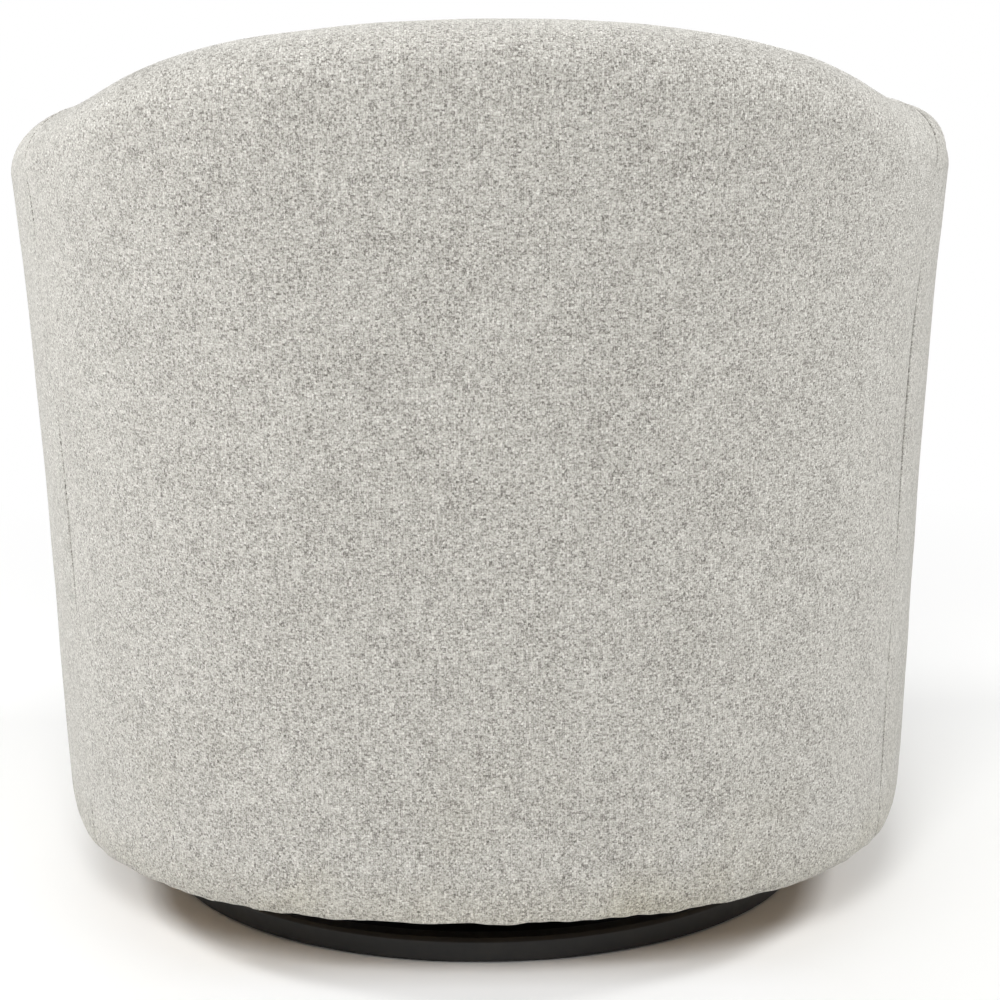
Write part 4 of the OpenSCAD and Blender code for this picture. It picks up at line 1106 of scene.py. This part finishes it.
def seat_cushion():
    n, m = COLUMNS, ROWS
    line = cushion_line(n, m)
    count = len(line)
    middle = np.array([0, CUSHION_MID])
    closed = np.concatenate([line, line[:1]])
    arc = run_along(closed)
    flat, z, away = cushion_panel(closed, middle, CROWN)
    pucker = waves(flat[..., 0], flat[..., 1], 0.022, 81) * np.exp(-away / 0.010)
    top = np.concatenate([flat, (z - fold_in(away, CUSHION_FOLD) + 0.0004 * pucker)[..., None]], -1)
    flat, z, low_away = cushion_panel(closed, middle, BASE)
    bottom = np.concatenate([flat, (z + fold_in(low_away, CUSHION_FOLD))[..., None]], -1)
    index = np.arange((n + 1) * (m + 1)).reshape(n + 1, m + 1)
    ring = ([(i, 0) for i in range(n)] + [(n, j) for j in range(m)]
            + [(i, m) for i in range(n, 0, -1)] + [(0, j) for j in range(m, 0, -1)])
    ring_top = np.array([index[q] for q in ring])
    offset = index.size
    # The corners of a square grid aren't evenly spaced like the outline, so the seam follows the grid
    seam = top.reshape(-1, 3)[ring_top][:, :2]
    height = CUSHION_H * (SEAM_UP - SEAM_LOW)
    drop = np.concatenate([CUSHION_EDGE[1:], np.linspace(0.018, height - 0.018, 15), height - CUSHION_EDGE[:0:-1]])
    points, held = [top.reshape(-1, 3), bottom.reshape(-1, 3)], [(away < 0.003).ravel(), np.ones(offset, bool)]
    crease = [crease_of(away).ravel(), crease_of(low_away).ravel()]
    rows = [ring_top]
    # The boxing between the two seams bulges outwards
    seam_z = CUSHION_Z + CUSHION_H * (SEAM_UP + SEAM_STEP) - CUSHION_FOLD
    drop_z = height + SEAM_STEP * CUSHION_H - 2 * CUSHION_FOLD
    for k, d in enumerate(drop):
        near = min(d, height - d)
        bulge = CUSHION_BULGE * (1 - (2 * d / height - 1) ** 4) - float(fold_in(near, CUSHION_FOLD)) + CUSHION_FOLD
        q = seam + (seam - middle) * (bulge / np.linalg.norm(seam - middle, axis=1))[:, None]
        zz = np.full(count, seam_z - d * drop_z / height)
        zz = zz + 0.0005 * waves(arc[:-1], arc[:-1] * 0, 0.02, 83) * math.exp(-d / 0.008)
        points.append(np.concatenate([q, zz[:, None]], 1))
        crease.append(np.full(count, float(crease_of(np.array(near)))))
        held.append(np.full(count, near < 0.003))
        rows.append(2 * offset + k * count + np.arange(count))
    rows.append(ring_top + offset)
    points, crease, held = (np.concatenate(q) for q in (points, crease, held))
    faces, corner_uv = [], []
    for i in range(n):
        for j in range(m):
            f = [int(q) for q in (index[i, j], index[i + 1, j], index[i + 1, j + 1], index[i, j + 1])]
            faces += [tuple(f), tuple(q + offset for q in reversed(f))]
            corner_uv += [points[q, :2] + (11, 0) for q in f] + [points[q, :2] + (14, 0) for q in reversed(f)]
    v = 17 - np.concatenate([[0], drop, [height]])
    for k in range(len(rows) - 1):
        for i in range(count):
            j = (i + 1) % count
            faces.append(tuple(int(q) for q in (rows[k][i], rows[k + 1][i], rows[k + 1][j], rows[k][j])))
            corner_uv += [(arc[i], v[k]), (arc[i], v[k + 1]), (arc[i + 1], v[k + 1]), (arc[i + 1], v[k])]
    cap = np.full(len(points), 0.022)
    cap[2 * offset :] = 0.0035
    obj = add_mesh("seat_cushion_cover", points, faces, "seat_body", tweed, crease=crease)
    layer = obj.data.uv_layers.new(name="weave")
    layer.data.foreach_set("uv", np.array(corner_uv, np.float32).ravel())
    puff(obj, held, PRESSURE, 14, cap)
    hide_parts("seat_cushion")


seat_cushion()


# ---- stage and lights

FLOOR, FLOOR_HALF = (0.88, 0.88, 0.87), 30
RING_SHADE_R = (0.262, 0.272)     # painted shade: the floor inside the ring is coloured almost black, up to here
FADE_R = (0.36, 1.4)        # distances over which the floor fades into the white backdrop
# Painted light: a floor patch behind the chair, close to the ring, glows in place of light reaching under the chair
LIT_PATCH_Y, LIT_PATCH_X = (0.272, 0.335), (0.33, 0.20)


def make_stage():
    h = FLOOR_HALF
    mesh = bpy.data.meshes.new("floor")
    mesh.from_pydata([(-h, -h, 0), (h, -h, 0), (h, h, 0), (-h, h, 0)], [], [(0, 1, 2, 3)])
    floor = bpy.data.objects.new("floor", mesh)
    scene.collection.objects.link(floor)
    s = Look("floor", FLOOR, 0.6)
    at = s.vector("MULTIPLY", s.place(), (1, 1, 0))
    r = s.vector("LENGTH", at)
    # Painted shade: the floor's colour is near black inside the ring
    s.set(Specular_IOR_Level=0.15, Base_Color=s.ramp(r, [(RING_SHADE_R[0], (0.015,) * 3), (RING_SHADE_R[1], FLOOR)]))
    away = s.math("POWER", s.level(r, *FADE_R), 0.7)
    # Painted light: behind the chair a patch of the floor close to the ring glows nearly white too
    x, y, _ = s.split(at)
    near = s.times(s.level(y, *LIT_PATCH_Y), s.level(s.math("ABSOLUTE", x), *LIT_PATCH_X))
    away = s.math("MAXIMUM", away, s.times(near, 0.55))
    out = next(n for n in s.tree.nodes if n.type == "OUTPUT_MATERIAL")
    s.mix_shaders(s.times(away, s.seen()), s.bsdf.outputs[0], s.node("Emission").outputs[0], out)
    mesh.materials.append(s.material)


def make_world():
    world = bpy.data.worlds.new("world")
    scene.world = world
    world.use_nodes = True
    world.node_tree.nodes.clear()
    t = Tree(world.node_tree)
    light = t.node("Background", (1, 0.995, 0.985), 0.25)
    backdrop = t.node("Background", (1, 1, 1), 1.0)
    t.mix_shaders(t.seen(), light.outputs[0], backdrop.outputs[0], t.node("OutputWorld"))


def add_lamp(name, place, target, size, watts):
    data = bpy.data.lights.new(name, "AREA")
    data.shape, data.size, data.energy = "SQUARE", size, watts
    lamp = bpy.data.objects.new(name, data)
    scene.collection.objects.link(lamp)
    lamp.location = place
    lamp.visible_camera = False
    lamp.rotation_mode = "QUATERNION"
    lamp.rotation_quaternion = (Vector(target) - Vector(place)).to_track_quat("-Z", "Y")


make_stage()
make_world()
for lamp in (
    ("key", (0.3, 3.1, 2.45), (0, 0.3, 0.1), 1.1, 84),
    ("overhead", (0.1, -0.1, 3.3), (0, 0, 0.4), 1.6, 4),
    ("left_side", (2.25, 0.0, 2.15), (0, 0, 0.2), 0.7, 55),
    ("right_side", (-2.25, -0.1, 2.1), (0, 0, 0.2), 0.7, 49),
):
    add_lamp(*lamp)

scene.view_settings.view_transform = "Standard"
